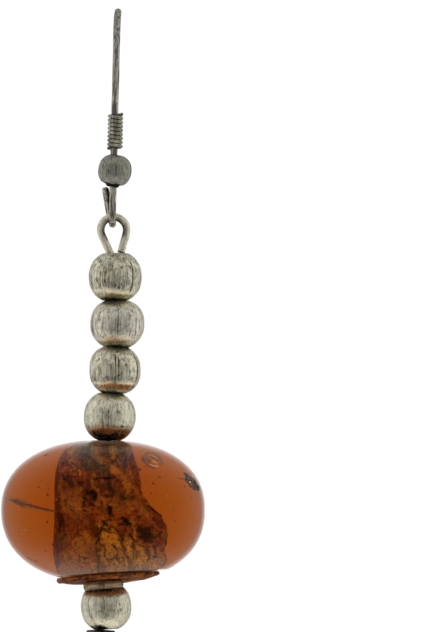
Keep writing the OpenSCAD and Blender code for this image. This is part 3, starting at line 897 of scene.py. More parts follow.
# Flaws seen in the core, by kind: half width in pixels, strength, then x and y of each pixel that the
# line runs through
CORE_FLAWS = {
    "brown": [
        (16, 0.8, 74, 520, 78, 528), (12, 0.7, 116, 506, 130, 520), (7, 0.7, 84, 475, 90, 482),
        (7, 0.6, 140, 496, 150, 515), (5, 0.5, 120, 524, 130, 524), (4, 0.5, 148, 505, 152, 508),
        (5, 0.5, 58, 540, 62, 545), (8, 0.7, 64, 548, 84, 562), (5, 0.6, 143, 544, 146, 546),
    ],
    "pale": [
        (11, 0.7, 68, 499, 76, 508), (10, 0.6, 66, 559, 80, 568), (7, 0.5, 104, 500, 124, 503),
        # The pale flaw from 72, 447 to 86, 449 is a painted highlight, the reflection of a light above
        (6, 0.6, 137, 499, 140, 505), (6, 0.9, 72, 447, 86, 449), (1.2, 0.6, 67, 451, 67, 459),
        (1.7, 0.6, 73, 456, 72, 461), (1.0, 0.7, 60, 473, 63, 472), (1.0, 0.7, 79, 463, 80, 462),
        (1.4, 0.6, 73, 467, 75, 468), (1.2, 0.6, 92, 459, 95, 460),
        (1.3, 0.9, 97, 457, 104, 459, 109, 463, 110, 466), (0.8, 0.6, 91, 464, 96, 464),
        (1.5, 0.5, 101, 469, 101, 474), (0.8, 0.5, 107, 472, 112, 472), (1.2, 0.8, 124, 456, 125, 459),
        (0.9, 0.9, 113, 473, 116, 477, 120, 477, 121, 474), (0.9, 0.8, 85, 486, 86, 487),
        (1.2, 0.6, 67, 496, 69, 498), (1.0, 0.7, 75, 503, 77, 504), (0.8, 0.8, 103, 494, 104, 496),
        (1.0, 0.6, 95, 501, 97, 504), (1.4, 0.7, 109, 499, 112, 505), (0.8, 0.7, 121, 509, 124, 510),
        (1.0, 0.8, 126, 500, 127, 501), (1.0, 0.7, 141, 511, 146, 516, 149, 519),
        (1.0, 0.7, 147, 510, 148, 513), (0.8, 0.6, 88, 509, 93, 508), (0.9, 0.7, 79, 526, 81, 529),
        (0.9, 0.9, 145, 539, 145, 541), (0.9, 0.9, 136, 544, 137, 546), (1.1, 1.0, 149, 551, 151, 554),
        (3, 0.5, 149, 505, 151, 508),
    ],
    "grey": [
        (6, 0.9, 84, 455, 86, 463), (7, 1.0, 94, 468, 108, 471), (7, 0.8, 106, 451, 122, 455),
        (6, 0.8, 118, 460, 124, 464), (6, 0.8, 106, 483, 118, 493), (4, 0.8, 143, 500, 149, 507),
        (4, 0.7, 61, 532, 62, 546), (3, 0.7, 98, 545, 99, 573), (2.5, 0.7, 156, 556, 158, 568),
        (3, 0.6, 118, 531, 122, 541), (5, 0.5, 88, 447, 112, 447), (6, 0.4, 78, 455, 84, 466),
        (4, 0.4, 108, 456, 122, 462), (4.5, 0.8, 112, 489, 127, 496), (3, 0.7, 98, 468, 112, 470),
    ],
    "gold": [
        (2.5, 0.5, 90, 444, 110, 445, 128, 444), (10, 0.7, 108, 534, 110, 566), (7, 0.5, 80, 540, 86, 552),
        (4.5, 0.9, 128, 541, 128, 549), (6, 0.9, 141, 551, 141, 562), (4, 0.8, 149, 558, 151, 566),
        (5, 0.8, 121, 561, 125, 568), (3, 0.9, 113, 470, 121, 474, 125, 480, 128, 491),
        (1.8, 0.7, 98, 461, 104, 463), (1.8, 1.0, 113, 453, 113, 458), (1.5, 0.9, 114, 469, 117, 471),
        (1.3, 0.9, 128, 463, 131, 466), (1.3, 0.9, 79, 470, 79, 475), (1.5, 0.8, 94, 476, 92, 481, 95, 487),
        (1.6, 1.0, 81, 488, 82, 491), (0.9, 0.6, 100, 505, 102, 500, 103, 507),
        (0.9, 0.8, 111, 506, 113, 510), (1.6, 0.9, 97, 524, 99, 528), (1.6, 1.0, 103, 532, 104, 536),
        (1.4, 1.0, 103, 541, 106, 543), (1.8, 1.0, 114, 534, 116, 540), (1.2, 1.0, 111, 564, 111, 568),
        (1.0, 0.7, 92, 540, 96, 536), (1.1, 0.8, 133, 528, 136, 534, 135, 542),
        (3, 0.8, 130, 464, 133, 478, 134, 488), (4.5, 0.8, 131, 487, 142, 492),
        (4, 0.6, 141, 495, 150, 499), (9, 0.8, 134, 559, 154, 561), (2, 0.6, 98, 446, 101, 446),
        (1.8, 0.6, 114, 447, 118, 446), (2.5, 0.7, 104, 553, 108, 557), (2.5, 0.7, 115, 548, 118, 554),
        (2.2, 0.8, 94, 564, 96, 569), (5, 1.0, 141, 553, 141, 562), (4, 1.0, 128, 542, 128, 549),
        (5, 0.9, 108, 535, 117, 544), (9, 0.7, 122, 558, 150, 556), (5, 0.8, 112, 566, 126, 569),
        (6, 1.0, 139, 563, 152, 564), (4, 0.9, 122, 563, 131, 565),
    ],
    "red": [
        (2.6, 0.9, 57, 466, 56, 482, 57, 500, 58, 516), (4, 0.9, 60, 514, 60, 529),
        (3, 0.5, 60, 545, 60, 560), (3.5, 0.8, 86, 482, 89, 487), (3.5, 0.8, 88, 500, 91, 507),
        (6, 0.5, 70, 521, 88, 526), (3.5, 0.8, 91, 516, 94, 528, 97, 542), (4, 0.6, 124, 530, 123, 538),
        (2.0, 0.8, 160, 514, 165, 528, 166, 545, 166, 560), (4, 0.6, 155, 515, 160, 524),
        (2, 0.6, 65, 449, 66, 460), (5, 0.5, 87, 480, 93, 484), (7, 0.45, 66, 486, 84, 490),
        (5, 0.35, 86, 548, 94, 554), (2, 0.8, 57, 468, 57, 566), (3, 0.6, 59, 520, 60, 532),
    ],
    "black": [
        (2.2, 0.7, 62, 474, 65, 479), (2.2, 0.7, 69, 478, 71, 486), (1.5, 0.6, 75, 470, 77, 467),
        (2.0, 0.8, 78, 483, 82, 482), (1.4, 0.6, 83, 493, 86, 494), (3.0, 1.0, 88, 492, 92, 493),
        (1.8, 0.9, 92, 496, 94, 498), (1.6, 0.7, 90, 505, 93, 505), (1.8, 0.8, 84, 497, 84, 507),
        (1.4, 0.7, 84, 511, 86, 512), (1.4, 0.5, 86, 516, 88, 521), (1.0, 0.8, 93, 479, 100, 478, 113, 479),
        (3.0, 0.4, 86, 456, 88, 461), (3.0, 0.6, 106, 451, 108, 453), (3.5, 0.35, 98, 484, 104, 488),
        (2.0, 0.5, 109, 487, 113, 493), (1.4, 0.7, 104, 496, 113, 496), (2.0, 0.5, 120, 496, 126, 498),
        (1.1, 0.7, 132, 484, 132, 491), (1.5, 0.6, 101, 503, 102, 508), (1.6, 1.0, 109, 508, 111, 513),
        (1.2, 0.8, 111, 513, 114, 516), (1.5, 0.8, 110, 519, 104, 524, 100, 532, 98, 542),
        (1.8, 0.9, 104, 522, 107, 524), (2.2, 1.0, 125, 519, 126, 523, 129, 525),
        (1.2, 0.8, 120, 524, 124, 523), (1.0, 0.7, 80, 556, 87, 559), (1.6, 0.6, 97, 549, 99, 560, 98, 572),
        (1.8, 0.6, 121, 536, 123, 548, 127, 557, 130, 567),
        (1.3, 0.5, 138, 530, 136, 545, 133, 557, 131, 567), (2.6, 0.8, 142, 528, 148, 530),
        (2.6, 0.8, 141, 536, 148, 540, 152, 536), (1.4, 0.8, 140, 545, 147, 548, 151, 557, 149, 562),
        (1.2, 0.7, 154, 545, 156, 556), (1.3, 0.6, 156, 533, 159, 541),
        (1.2, 0.6, 143, 506, 148, 510, 150, 508), (2.4, 0.6, 60, 516, 61, 524),
        (1.2, 0.6, 64, 500, 66, 501), (5, 0.35, 90, 446, 112, 447), (6, 0.25, 80, 456, 108, 458),
        (5, 0.25, 78, 464, 84, 466), (1.2, 0.8, 96, 536, 104, 529, 108, 532, 113, 527, 119, 531),
        (1.1, 0.8, 102, 545, 106, 550, 104, 556), (1.2, 0.7, 112, 545, 117, 549, 116, 557, 120, 562),
        (1.0, 0.7, 104, 556, 109, 560, 114, 557), (1.3, 0.8, 130, 534, 134, 540, 133, 548),
        (1.2, 0.7, 133, 548, 137, 552, 136, 560), (4.2, 1.0, 89, 493, 93, 496),
        (3.2, 1.0, 109, 509, 111, 513), (3.2, 1.0, 126, 520, 129, 525), (5, 0.9, 143, 531, 150, 537),
    ],
}


def nearness(px, py, half, line, width):
    """1 on a line of pixels, and 0 well past its half width."""
    away = np.full(px.shape, np.inf)
    for x0, y0, x1, y1 in zip(line[::2], line[1::2], line[2::2], line[3::2]):
        run_x = x1 - x0
        run_y = y1 - y0
        along = np.clip(((px - x0) * run_x + (py - y0) * run_y) / (run_x ** 2 + run_y ** 2 + 0.01), 0, 1)
        away = np.minimum(away, np.hypot(px - x0 - along * run_x, py - y0 - along * run_y))
    soft = min(0.9, 0.5 + 0.05 * half)
    return smooth_step(1 + soft, 1 - soft, away / (half * width))


def random_flaws(count, seed, broad, reach):
    """Flaws that run upright more than across. A share of them is broad."""
    draw = np.random.default_rng(seed)
    flaws = {name: [] for name in KIND_NAMES}
    for _ in range(count):
        kind = draw.choice(KIND_NAMES, p=[0.12, 0.2, 0.1, 0.22, 0.1, 0.26])
        half = draw.uniform(4, 10) if draw.uniform() < broad else draw.uniform(0.7, 2.2)
        x = draw.uniform(58, 160)
        y = draw.uniform(450, 568)
        reach_x = draw.uniform(-0.4, 0.4) * reach
        reach_y = draw.uniform(0.1, 1) * reach
        bend = draw.uniform(-0.25, 0.25) * reach
        line = (x, y - reach_y, x + reach_x / 2 + bend, y, x + reach_x, y + reach_y)
        flaws[kind].append((half, draw.uniform(0.4, 1), *line))
    return flaws


def core_marks(angles, z):
    """How strong each kind of flaw is at each point of the core."""
    places = core_places(angles[::SEEN_ROWS, ::SEEN_COLUMNS], z[::SEEN_ROWS, ::SEEN_COLUMNS])
    places[..., 1] = -np.abs(places[..., 1])
    rows, columns = map(np.arange, angles.shape)
    fields = []
    for seen in seen_pixels(places):
        tall = stacked(*[np.interp(rows, rows[::SEEN_ROWS], column) for column in seen.T])
        fields.append(np.stack([np.interp(columns, columns[::SEEN_COLUMNS], row) for row in tall]))
    px, py = fields
    place = stacked(px / 3.5, py / 3.5, np.sign(np.cos(np.radians(angles))))
    sway = layered_noise(place, 201, 3)
    lift = layered_noise(place, 211, 3)
    width = 1 + 0.5 * noise(place * 1.3, 217)
    front = smooth_step(100, 84, np.abs(angles))
    marks = {name: np.zeros(angles.shape) for name in KIND_NAMES}
    broad_flaws = random_flaws(150, seed=233, broad=0.25, reach=14)
    fine_flaws = random_flaws(300, seed=237, broad=0.0, reach=3.5)
    for flaws, side in ((CORE_FLAWS, front), (broad_flaws, 1 - front), (fine_flaws, 0.5)):
        for kind, lines in flaws.items():
            for half, strength, *line in lines:
                shake = min(0.7 + 0.35 * half, 3.5)
                near = nearness(px + shake * sway, py + shake * lift, half, line, width)
                marks[kind] = np.maximum(marks[kind], strength * side * near)
    return marks


def add_amber():
    top_z, foot_z = [reach * (1 - (AMBER_TOP_R / AMBER_R) ** AMBER_POWER) ** (1 / AMBER_POWER)
                     for reach in (AMBER_RISE, AMBER_FALL)]
    profile = bead_profile(AMBER_R, (top_z, foot_z), (AMBER_RISE / top_z, AMBER_FALL / foot_z), AMBER_HOLE_R,
                           AMBER_POWER, AMBER_STEPS, lip=0.08)
    points, normals = turned(profile, AMBER_COLUMNS)
    points = to_frame(points + normals * (layered_noise(points * 0.16, 301, 2) * 0.02)[..., None])
    flat_up = FLAT_TURN @ [0, 0, 1]
    below = (points - (AMBER_MIDDLE - [0, 0, AMBER_FLAT])) @ flat_up
    points[..., 2] -= np.minimum(below, 0) / flat_up[2]
    amber = Finish("clear_amber")
    smear = amber.noise((1.2, 1.2, 1.2), detail=3.0)
    normal = amber.bump(amber.noise((0.9, 0.9, 0.9), shift=5.0), 0.02, 0.25)
    absorb = amber.add("ShaderNodeVolumeAbsorption", {"Color": (0.797, 0.527, 0.045, 1.0), "Density": 338.0})
    material = amber.close((1.0, 1.0, 1.0, 1.0), amber.remap(smear, 0.35, 0.7, 0.01, 0.03),
                           {"IOR": AMBER_INDEX, "Specular Tint": (0.1, 0.1, 0.1, 1.0),
                            "Transmission Weight": 1.0, "Sheen Weight": 0.07, "Sheen Roughness": 0.35,
                            "Sheen Tint": (0.62, 0.88, 1.0, 1.0), "Normal": normal}, absorb.outputs[0])
    make_piece("amber_shell", points, material, "drop", ["amber_bead"])


def core_material():
    core = Finish("core_inclusions")
    mottled = core.noise((0.5, 0.5, 0.26), detail=4.0, distortion=0.6)
    fine = core.noise((0.2, 0.2, 0.14), detail=3.0, shift=3.0)
    streaks = core.noise((0.2, 0.2, 0.7), detail=3.0, distortion=0.4, shift=12.0)
    bends = core.noise((0.75, 0.75, 0.5), distortion=1.4, shift=8.0)
    threads = core.remap(core.maths("ABSOLUTE", core.maths("SUBTRACT", bends, 0.5)), 0.004, 0.03, 1.0, 0.0)
    flaws = {kind: core.attribute(kind) for kind in KIND_NAMES}
    light_parts = core.maths("MAXIMUM", flaws["gold"], flaws["brown"])
    base = core.shaded(mottled, 0.36, 0.62, tone(122, 66, 62), tone(196, 148, 142))
    base = core.layered(
        base,
        (flaws["brown"], core.shaded(mottled, 0.35, 0.65, tone(170, 104, 80), tone(206, 150, 124))),
        (flaws["pale"], core.shaded(fine, 0.35, 0.65, tone(206, 190, 196), tone(240, 232, 240))),
        (flaws["grey"], core.shaded(mottled, 0.35, 0.65, tone(74, 78, 92), tone(120, 124, 146))),
        (flaws["gold"], core.shaded(fine, 0.3, 0.6, tone(255, 226, 146), tone(255, 246, 184))),
        (flaws["red"], tone(104, 46, 44)),
        (core.remap(streaks, 0.30, 0.44, 0.4, 0.0), tone(64, 28, 24)),
        (core.remap(streaks, 0.56, 0.70, 0.0, 0.35), tone(232, 206, 190)),
        (core.remap(fine, 0.28, 0.40, 0.4, 0.0), tone(60, 26, 22)),
        (core.times(threads, core.remap(light_parts, 0.1, 0.7, 0.15, 0.8)), tone(54, 24, 20)),
        (flaws["black"], tone(16, 10, 10)),
    )
    middle = AMBER_MIDDLE[2]
    low_down = core.remap(core.along("Z"), (middle - 5.2) * MM, (middle - 2.6) * MM, 1.0, 0.0)
    base = core.mix(low_down, base, tone(255, 240, 160), blend="MULTIPLY")
    return core.close(base, 0.6, {"Specular IOR Level": 0.2, "Normal": core.bump(mottled, 0.2, 0.5)})


def add_core():
    levels = np.linspace(CORE_ROWS[0, 0], CORE_ROWS[-1, 0], SEEN_LEVELS)
    seen_rows = seen_pixels(core_places(0.0, levels))[1]
    z_rows = np.interp(np.linspace(seen_rows[0], seen_rows[-1], CORE_LEVELS), seen_rows, levels)
    columns = np.linspace(-180, 180, CORE_COLUMNS, endpoint=False)
    z, angles = np.meshgrid(z_rows, columns, indexing="ij")
    marks = core_marks(angles, z)
    radius = core_radius(angles, z)
    way = stacked(*from_front(angles))
    flat = np.dstack([way * radius[..., None], z * 2])
    uneven = 0.045 + 0.30 * smooth_step(0.6, 0.95, way[..., 0])
    rough = layered_noise(flat * 0.8, 221, 4) * uneven + 0.04 * marks["gold"] - 0.06 * marks["black"]
    outer_r = radius + rough * smooth_step(CORE_HOLE_R, CORE_HOLE_R + 0.6, radius)
    outer = np.dstack([way * outer_r[..., None], z])
    bore_z = np.linspace(z_rows[-1], z_rows[0], CORE_HOLE_ROWS)[:, None]
    bore = stacked(*(way[0] * CORE_HOLE_R).T, bore_z)
    spare = np.zeros((CORE_HOLE_ROWS, CORE_COLUMNS))
    attributes = {name: np.concatenate([mark, spare]) for name, mark in marks.items()}
    make_piece("amber_core", to_frame(np.concatenate([outer, bore])), core_material(), "drop",
               ["dark_core"], attributes)


# Marks in the clear amber: a tone, a depth, and x, y and half width in pixels along each mark
FADE, DARK, RUST, TAN, GOLDEN, LIGHT, HAZE = range(7)
MARK_TONES = [tone(156, 86, 36), tone(98, 70, 46), tone(116, 50, 14), tone(198, 124, 68), tone(212, 150, 62),
              tone(236, 206, 166), tone(140, 102, 70)]
CRACK = [
    (HAZE, 0.5, (6, 498.6, 0.3, 9, 499.3, 0.9, 14, 501, 1.7, 18, 502.6, 2.5, 22, 504, 2.3, 26, 505, 1.2,
                 29, 505.6, 0.4)),
    (DARK, 0.45, (10, 499.4, 0.4, 15, 501.2, 1.2, 20, 503.2, 1.3, 25, 504.6, 0.6, 29, 505.6, 0.3)),
    (RUST, 0.7, (23, 503.4, 0.6, 30, 505.4, 1.2, 38, 507.5, 1.3, 46, 509.5, 1.2, 53, 511, 1.0,
                 57, 511.6, 0.5)),
    (TAN, 0.8, (21, 506.6, 0.5, 30, 508.2, 0.9, 38, 510.2, 0.9, 44, 511.4, 0.7, 50, 512, 0.4)),
    (TAN, 0.9, (9, 496.8, 0.4, 16, 498.8, 0.7, 24, 501.2, 0.7, 32, 503.8, 0.4)),
]
# An air bubble: its rings, golden crescent and light streaks are painted refraction and reflection, drawn as
# flakes
BUBBLE = [
    (HAZE, 1.0, (143.2, 458, 2.2, 145.5, 455, 1.8, 149, 452.9, 1.1, 153, 453.4, 1.2, 157.5, 455.8, 1.5,
                 160.8, 459.4, 1.5, 162, 463, 1.4, 160, 465.3, 1.1)),
    (HAZE, 1.02, (142.8, 457, 2.0, 144.6, 460.6, 2.6, 147.4, 462.6, 1.8, 150.5, 463.4, 0.8)),
    (RUST, 0.98, (142.6, 456.6, 0.7, 143.6, 459.2, 1.1, 145.4, 461, 0.8)),
    (GOLDEN, 0.9, (147.3, 454.2, 0.4, 151, 455, 0.9, 156, 457.3, 0.7, 158.6, 459, 0.3)),
    (RUST, 0.95, (148, 456.6, 0.4, 152, 457.4, 0.7, 155.5, 459.4, 0.6, 159, 461.4, 0.5)),
    (GOLDEN, 1.0, (151.6, 459.6, 0.8, 154.3, 461.6, 2.3, 157, 463.3, 1.4, 158.5, 464, 0.4)),
    (RUST, 1.05, (146, 458, 0.8, 148.6, 460.6, 1.5, 150.5, 462.8, 1.0)),
    (LIGHT, 0.9, (149, 464.4, 0.3, 153, 465.6, 0.6, 157.5, 466.5, 0.5, 160.5, 466.7, 0.2)),
    (RUST, 1.0, (145.5, 464.4, 0.4, 150, 466.8, 0.8, 153.5, 468.2, 0.7, 156, 468.4, 0.2)),
]
# Chip in the surface at the upper right: angle and height of its middle, half its width and height, and how
# many degrees it leans for each millimetre down
CHIP = (70.0, 2.78, 8.0, 0.86, 4.5)
CHIP_RINGS = 14
CHIP_SIDES = 56
CHIP_THICKNESS = 0.12
CHIP_STRENGTH = 1.6
# Specks inside the amber and on its chip: a tone, x, y and size in pixels
INNER_SPECKS = [
    (RUST, 47.2, 521.8, 1.0), (RUST, 53, 544.5, 1.2), (RUST, 45.5, 551, 0.8), (RUST, 38.5, 487.2, 0.8),
    (RUST, 47.5, 495, 1.1), (RUST, 49, 488.5, 0.6), (RUST, 23.3, 552.5, 0.7), (RUST, 160, 477, 0.9),
    (DARK, 158.2, 476.5, 0.6), (RUST, 152.5, 483, 0.8), (DARK, 146, 482, 0.6), (RUST, 154, 484, 0.8),
    (RUST, 151.5, 493, 0.8), (DARK, 175, 521, 0.7), (TAN, 146.5, 450, 1.0), (TAN, 151.5, 449.6, 0.9),
    (TAN, 39.5, 489.2, 1.0), (LIGHT, 25.6, 530, 0.5), (LIGHT, 22.3, 533.5, 0.5), (TAN, 56.4, 499.8, 0.8),
    (TAN, 189.5, 486.4, 0.9), (TAN, 186.5, 488, 0.8), (DARK, 184.6, 486.2, 0.8), (LIGHT, 152, 492, 0.4),
    (LIGHT, 167.5, 496, 0.4), (TAN, 191.5, 497, 1.2),
]
CHIP_SPECKS = [(LIGHT, 189.8, 482.4, 0.9), (LIGHT, 192.2, 476.4, 0.5), (LIGHT, 191.4, 484.4, 0.45)]
MARK_SIDES = 18
MARK_THICKNESS = 0.05
# Step along a mark and length of its fading ends, in pixels, and how near the amber's outline it may come
MARK_STEP = 0.5
MARK_END = 1.5
MARK_REACH = 0.985
SPECK_ROWS = 5
SPECK_SIDES = 8


def flake(depth, line, seed):
    """A thin closed ribbon inside the amber along pixels, and how near its middle each point is."""
    spots = np.reshape(line, (-1, 3))
    run = np.concatenate([[0], np.cumsum(np.hypot(*np.diff(spots[:, :2], axis=0).T))])
    steps = np.linspace(0, run[-1], max(8, int(run[-1] / MARK_STEP)))
    x, y, half = [np.interp(steps, run, column) for column in spots.T]
    way = np.gradient(np.stack([x, y]), axis=1)
    way /= np.hypot(*way)
    half = half * (1 + 0.3 * noise(stacked(x, y, 0) * 0.7, seed))
    across = np.linspace(-1, 1, MARK_SIDES // 2)
    across = np.concatenate([across, across[::-1]])
    reach = half[:, None] * across
    px, py = within_rim(x[:, None] - way[1][:, None] * reach, y[:, None] + way[0][:, None] * reach,
                        MARK_REACH)
    deep = np.repeat([depth, depth + MARK_THICKNESS], MARK_SIDES // 2)
    points = inside_amber(px, py, np.broadcast_to(deep, px.shape))
    ends = np.minimum(1, np.minimum(steps, steps[-1] - steps) / MARK_END)
    return points, (1 - across ** 2) * ends[:, None]


def speck(place, size, tall):
    """A small closed egg about a place."""
    turn = np.radians(np.linspace(-80, 80, SPECK_ROWS))[:, None]
    cos, sin = circle(SPECK_SIDES)
    egg = stacked(np.cos(turn) * cos, np.cos(turn) * sin, tall * np.sin(turn))
    return place + size * egg


def random_specks(count, seed):
    """Specks and short upright streaks all through the clear amber: tone, place, size, tallness."""
    draw = np.random.default_rng(seed)
    rows = []
    while len(rows) < count:
        angle = draw.uniform(0, 2 * np.pi)
        radius = AMBER_R * draw.uniform(0.5, 0.96)
        place = np.array([radius * math.cos(angle), radius * math.sin(angle), draw.uniform(-5.6, 5.2)])
        if not -0.3 < amber_level(place) < -0.08:
            continue
        kind = int(draw.choice([RUST, TAN, HAZE, LIGHT], p=[0.35, 0.5, 0.1, 0.05]))
        tall = draw.uniform(3, 9) if draw.uniform() < 0.6 else draw.uniform(0.8, 1.6)
        rows.append((kind, place, draw.uniform(0.015, 0.038), tall))
    return rows


def chip_points():
    """A rough closed patch that lies in the surface of the amber."""
    middle, height, half_angle, half_height, lean = CHIP
    out = np.linspace(0.04, 1, CHIP_RINGS)
    reach = np.concatenate([out, out[::-1]])[:, None]
    deep = np.repeat([0.0, CHIP_THICKNESS], CHIP_RINGS)[:, None]
    cos, sin = circle(CHIP_SIDES)
    shadowed_ragged_hole = reach * (1 + 0.2 * layered_noise(stacked(cos * 1.5, sin * 1.5, 0), 521, 3))
    z = height + half_height * shadowed_ragged_hole * sin
    across, back = from_front(middle + half_angle * shadowed_ragged_hole * cos + lean * (height - z))
    wide = outline_r(z, AMBER_R, AMBER_RISE, AMBER_POWER)
    place = stacked(wide * across, wide * back, z)
    rough = 0.03 - 0.09 * reach ** 4 + 0.05 * layered_noise(place * 2.2, 523, 3) - deep
    return place + amber_normal(place) * rough[..., None]


def mark_material():
    marks = Finish("amber_marks")
    shade = marks.attribute("shade")
    strength = marks.attribute("strength")
    base = MARK_TONES[FADE]
    for kind in range(DARK, HAZE + 1):
        chosen = marks.add("ShaderNodeMath", {0: shade, 1: float(kind), 2: 0.4}, operation="COMPARE")
        base = marks.mix(marks.times(chosen.outputs[0], strength), base, MARK_TONES[kind])
    rough = marks.noise((0.3, 0.3, 0.5), detail=3.0)
    dull = marks.shaded(rough, 0.42, 0.6, tone(40, 25, 16), tone(106, 74, 48))
    base = marks.mix(marks.remap(strength, 1.2, 1.5), base, dull)
    return marks.close(base, 0.6, {"Specular IOR Level": 0.1})


def add_marks():
    meshes = [(kind, *flake(depth, line, 501 + k)) for k, (kind, depth, line) in enumerate(CRACK + BUBBLE)]
    meshes.append((DARK, chip_points(), CHIP_STRENGTH))
    for specks, depth, tall in ((CHIP_SPECKS, -0.05, 1.0), (INNER_SPECKS, 0.8, 1.2)):
        meshes += [(kind, speck(inside_amber(x, y, depth), size * PIXEL, tall), 1.0)
                   for kind, x, y, size in specks]
    meshes += [(kind, speck(place, size, tall), 0.7)
               for kind, place, size, tall in random_specks(count=420, seed=511)]
    points, shades, strengths, faces = [], [], [], []
    for kind, grid, strength in meshes:
        first = sum(map(len, points))
        faces += [[first + corner for corner in face] for face in tube_faces(*grid.shape[:2])]
        points.append(grid.reshape(-1, 3))
        shades.append(np.full(len(points[-1]), float(kind)))
        strengths.append(np.broadcast_to(strength, grid.shape[:2]).ravel())
    make_piece("amber_marks", to_frame(np.concatenate(points)), mark_material(), "drop", (),
               {"shade": np.concatenate(shades), "strength": np.concatenate(strengths)}, faces)


# Disc and washer
DISC_R = 4.95
DISC_T = 0.55
DISC_SHIFT = 0.65
# How much thicker the disc is at its back
DISC_BACK_DROP = 0.42
DISC_COLUMNS = 240
WASHER_R = 1.925
WASHER_T = 0.78
WASHER_SHIFT = 0.2
# How much the washer is thickened downwards, on to the end bead
WASHER_DROP = 0.16
WASHER_COLUMNS = 120
THIN_HOLE_R = 1.0
STACK_GAP = 0.03
DISC_Z = AMBER_MIDDLE[2] - AMBER_FLAT - STACK_GAP - DISC_T / 2
WASHER_Z = DISC_Z - DISC_T / 2 - STACK_GAP - WASHER_T / 2


def plate_profile(radius, thickness, edge, steps):
    """Closed outline of a flat ring with round edges."""
    half = thickness / 2
    run = np.linspace(THIN_HOLE_R, radius - edge, steps)
    turn = np.radians(np.linspace(90, -90, 11)[1:-1])
    rim = [[radius - edge + edge * math.cos(t), half * math.sin(t)] for t in turn]
    return np.array([[r, half] for r in run] + rim + [[r, -half] for r in run[::-1]] + [[THIN_HOLE_R, 0]])


def on_the_flat(points, across, z):
    return (points + [across, 0, 0]) @ FLAT_TURN.T + [AMBER_MIDDLE[0], PIVOT[1], z]


def add_disc():
    points, normals = turned(plate_profile(DISC_R - 0.1, DISC_T - 0.06, edge=0.2, steps=24), DISC_COLUMNS)
    radius = from_axis(points)
    way = points[..., :2] / radius[..., None]
    rim = smooth_step(0.5 * DISC_R, DISC_R, radius)
    wander = layered_noise(stacked(way[..., 0] * 1.6, way[..., 1] * 1.6, 0), 401, 4) * 0.22
    points[..., :2] += way * (np.clip(wander, -0.3, 0.1) * rim)[..., None]
    height = layered_noise(points * [0.8, 0.8, 0.4], 411, 3) * 0.05
    underside = smooth_step(0.1, -0.2, points[..., 2])
    back = np.maximum(points[..., 1], 0) / DISC_R
    wavy = points[..., 1] / DISC_R + 0.12 * layered_noise(points * [0.8, 0.8, 0.0], 417, 3)
    pale = smooth_step(0.45, 0.62, wavy) * underside * smooth_step(0.2, 0.7, np.abs(points[..., 0]) / DISC_R)
    # Painted shadow on the disc's top face, under the amber
    shadow_under_amber = smooth_step(0.05, 0.22, points[..., 2])
    points = points + normals * (np.minimum(height, 0.03) * smooth_step(1.6, 2.6, radius))[..., None]
    points[..., 2] -= DISC_BACK_DROP * back ** 1.5 * underside * (1 - 0.5 * smooth_step(4.2, 4.9, radius))
    top = DISC_T / 2
    points[..., 2] = top - (top - points[..., 2]) * (1 - 0.25 * smooth_step(3.0, 4.9, points[..., 0]))
    shell = Finish("brown_shell")
    mottled = shell.noise((0.7, 0.7, 0.5), detail=4.0, distortion=0.8)
    specks = shell.remap(shell.noise((0.22, 0.22, 0.2), shift=6.0), 0.58, 0.66)
    base = shell.layered(
        shell.shaded(mottled, 0.38, 0.60, tone(52, 20, 8), tone(122, 66, 22)),
        (shell.remap(shell.along("X"), -4.5 * MM, -3.9 * MM, 0.5, 0.0), tone(128, 98, 70)),
        (shell.times(specks, 0.5), tone(176, 122, 72)),
        (shell.times(shell.attribute("pale"), 0.8), tone(176, 146, 130)),
        # Painted shadow under the amber
        (shell.times(shell.attribute("shadow_under_amber"), 0.85), tone(34, 10, 6)),
    )
    roughness = shell.remap(shell.attribute("under"), 0.0, 1.0, 0.35, 1.0)
    normal = shell.bump(mottled, 0.1, 0.6)
    material = shell.close(base, roughness, {"Specular IOR Level": 0.12, "Normal": normal})
    make_piece("disc", on_the_flat(points, DISC_SHIFT, DISC_Z), material, "drop",
               ["shell_disc"], {"pale": pale, "shadow_under_amber": shadow_under_amber, "under": underside})


def add_washer():
    profile = plate_profile(WASHER_R, WASHER_T + WASHER_DROP, edge=0.32, steps=8)
    points, normals = turned(profile, WASHER_COLUMNS)
    height = layered_noise(points * 1.5, 421, 3) * 0.02
    grime_and_shade = np.clip(0.4 + 0.5 * layered_noise(points * [0.8, 0.8, 4.0], 431, 3), 0, 1)
    points = points + normals * np.minimum(height, 0.01)[..., None]
    metal = old_metal("washer_metal", tone(252, 224, 184), tone(104, 78, 56),
                      (tone(216, 184, 142), tone(204, 174, 132)), seed=97.0, smooth=0.42,
                      grain=(2.0, 2.0, 0.1), wear=0.6)
    make_piece("washer", on_the_flat(points, WASHER_SHIFT, WASHER_Z - WASHER_DROP / 2), metal, "drop",
               ["spacer_washer"], {"grime_and_shade": grime_and_shade})


# End bead
END_BEAD_R = 2.44
END_BEAD_RISE = 1.74
END_BEAD_DROP = 2.2
END_BEAD_X = 0.25
END_BEAD_Z = -56.924
END_BEAD_FORWARD = 3.0
END_BEAD_SIDEWAYS = 5.5
# The marks of the end bead, with the same columns as those of the upper beads
END_BEAD_GROOVES = [(-42, 0.035, 0.04, 1.2, -1.0), (-48, 0.03, 0.035, 1.2, -1.0),
                    (-38, 0.04, 0.04, -0.8, -1.6), (-2, 0.07, 0.028, 0.9, -0.35)]
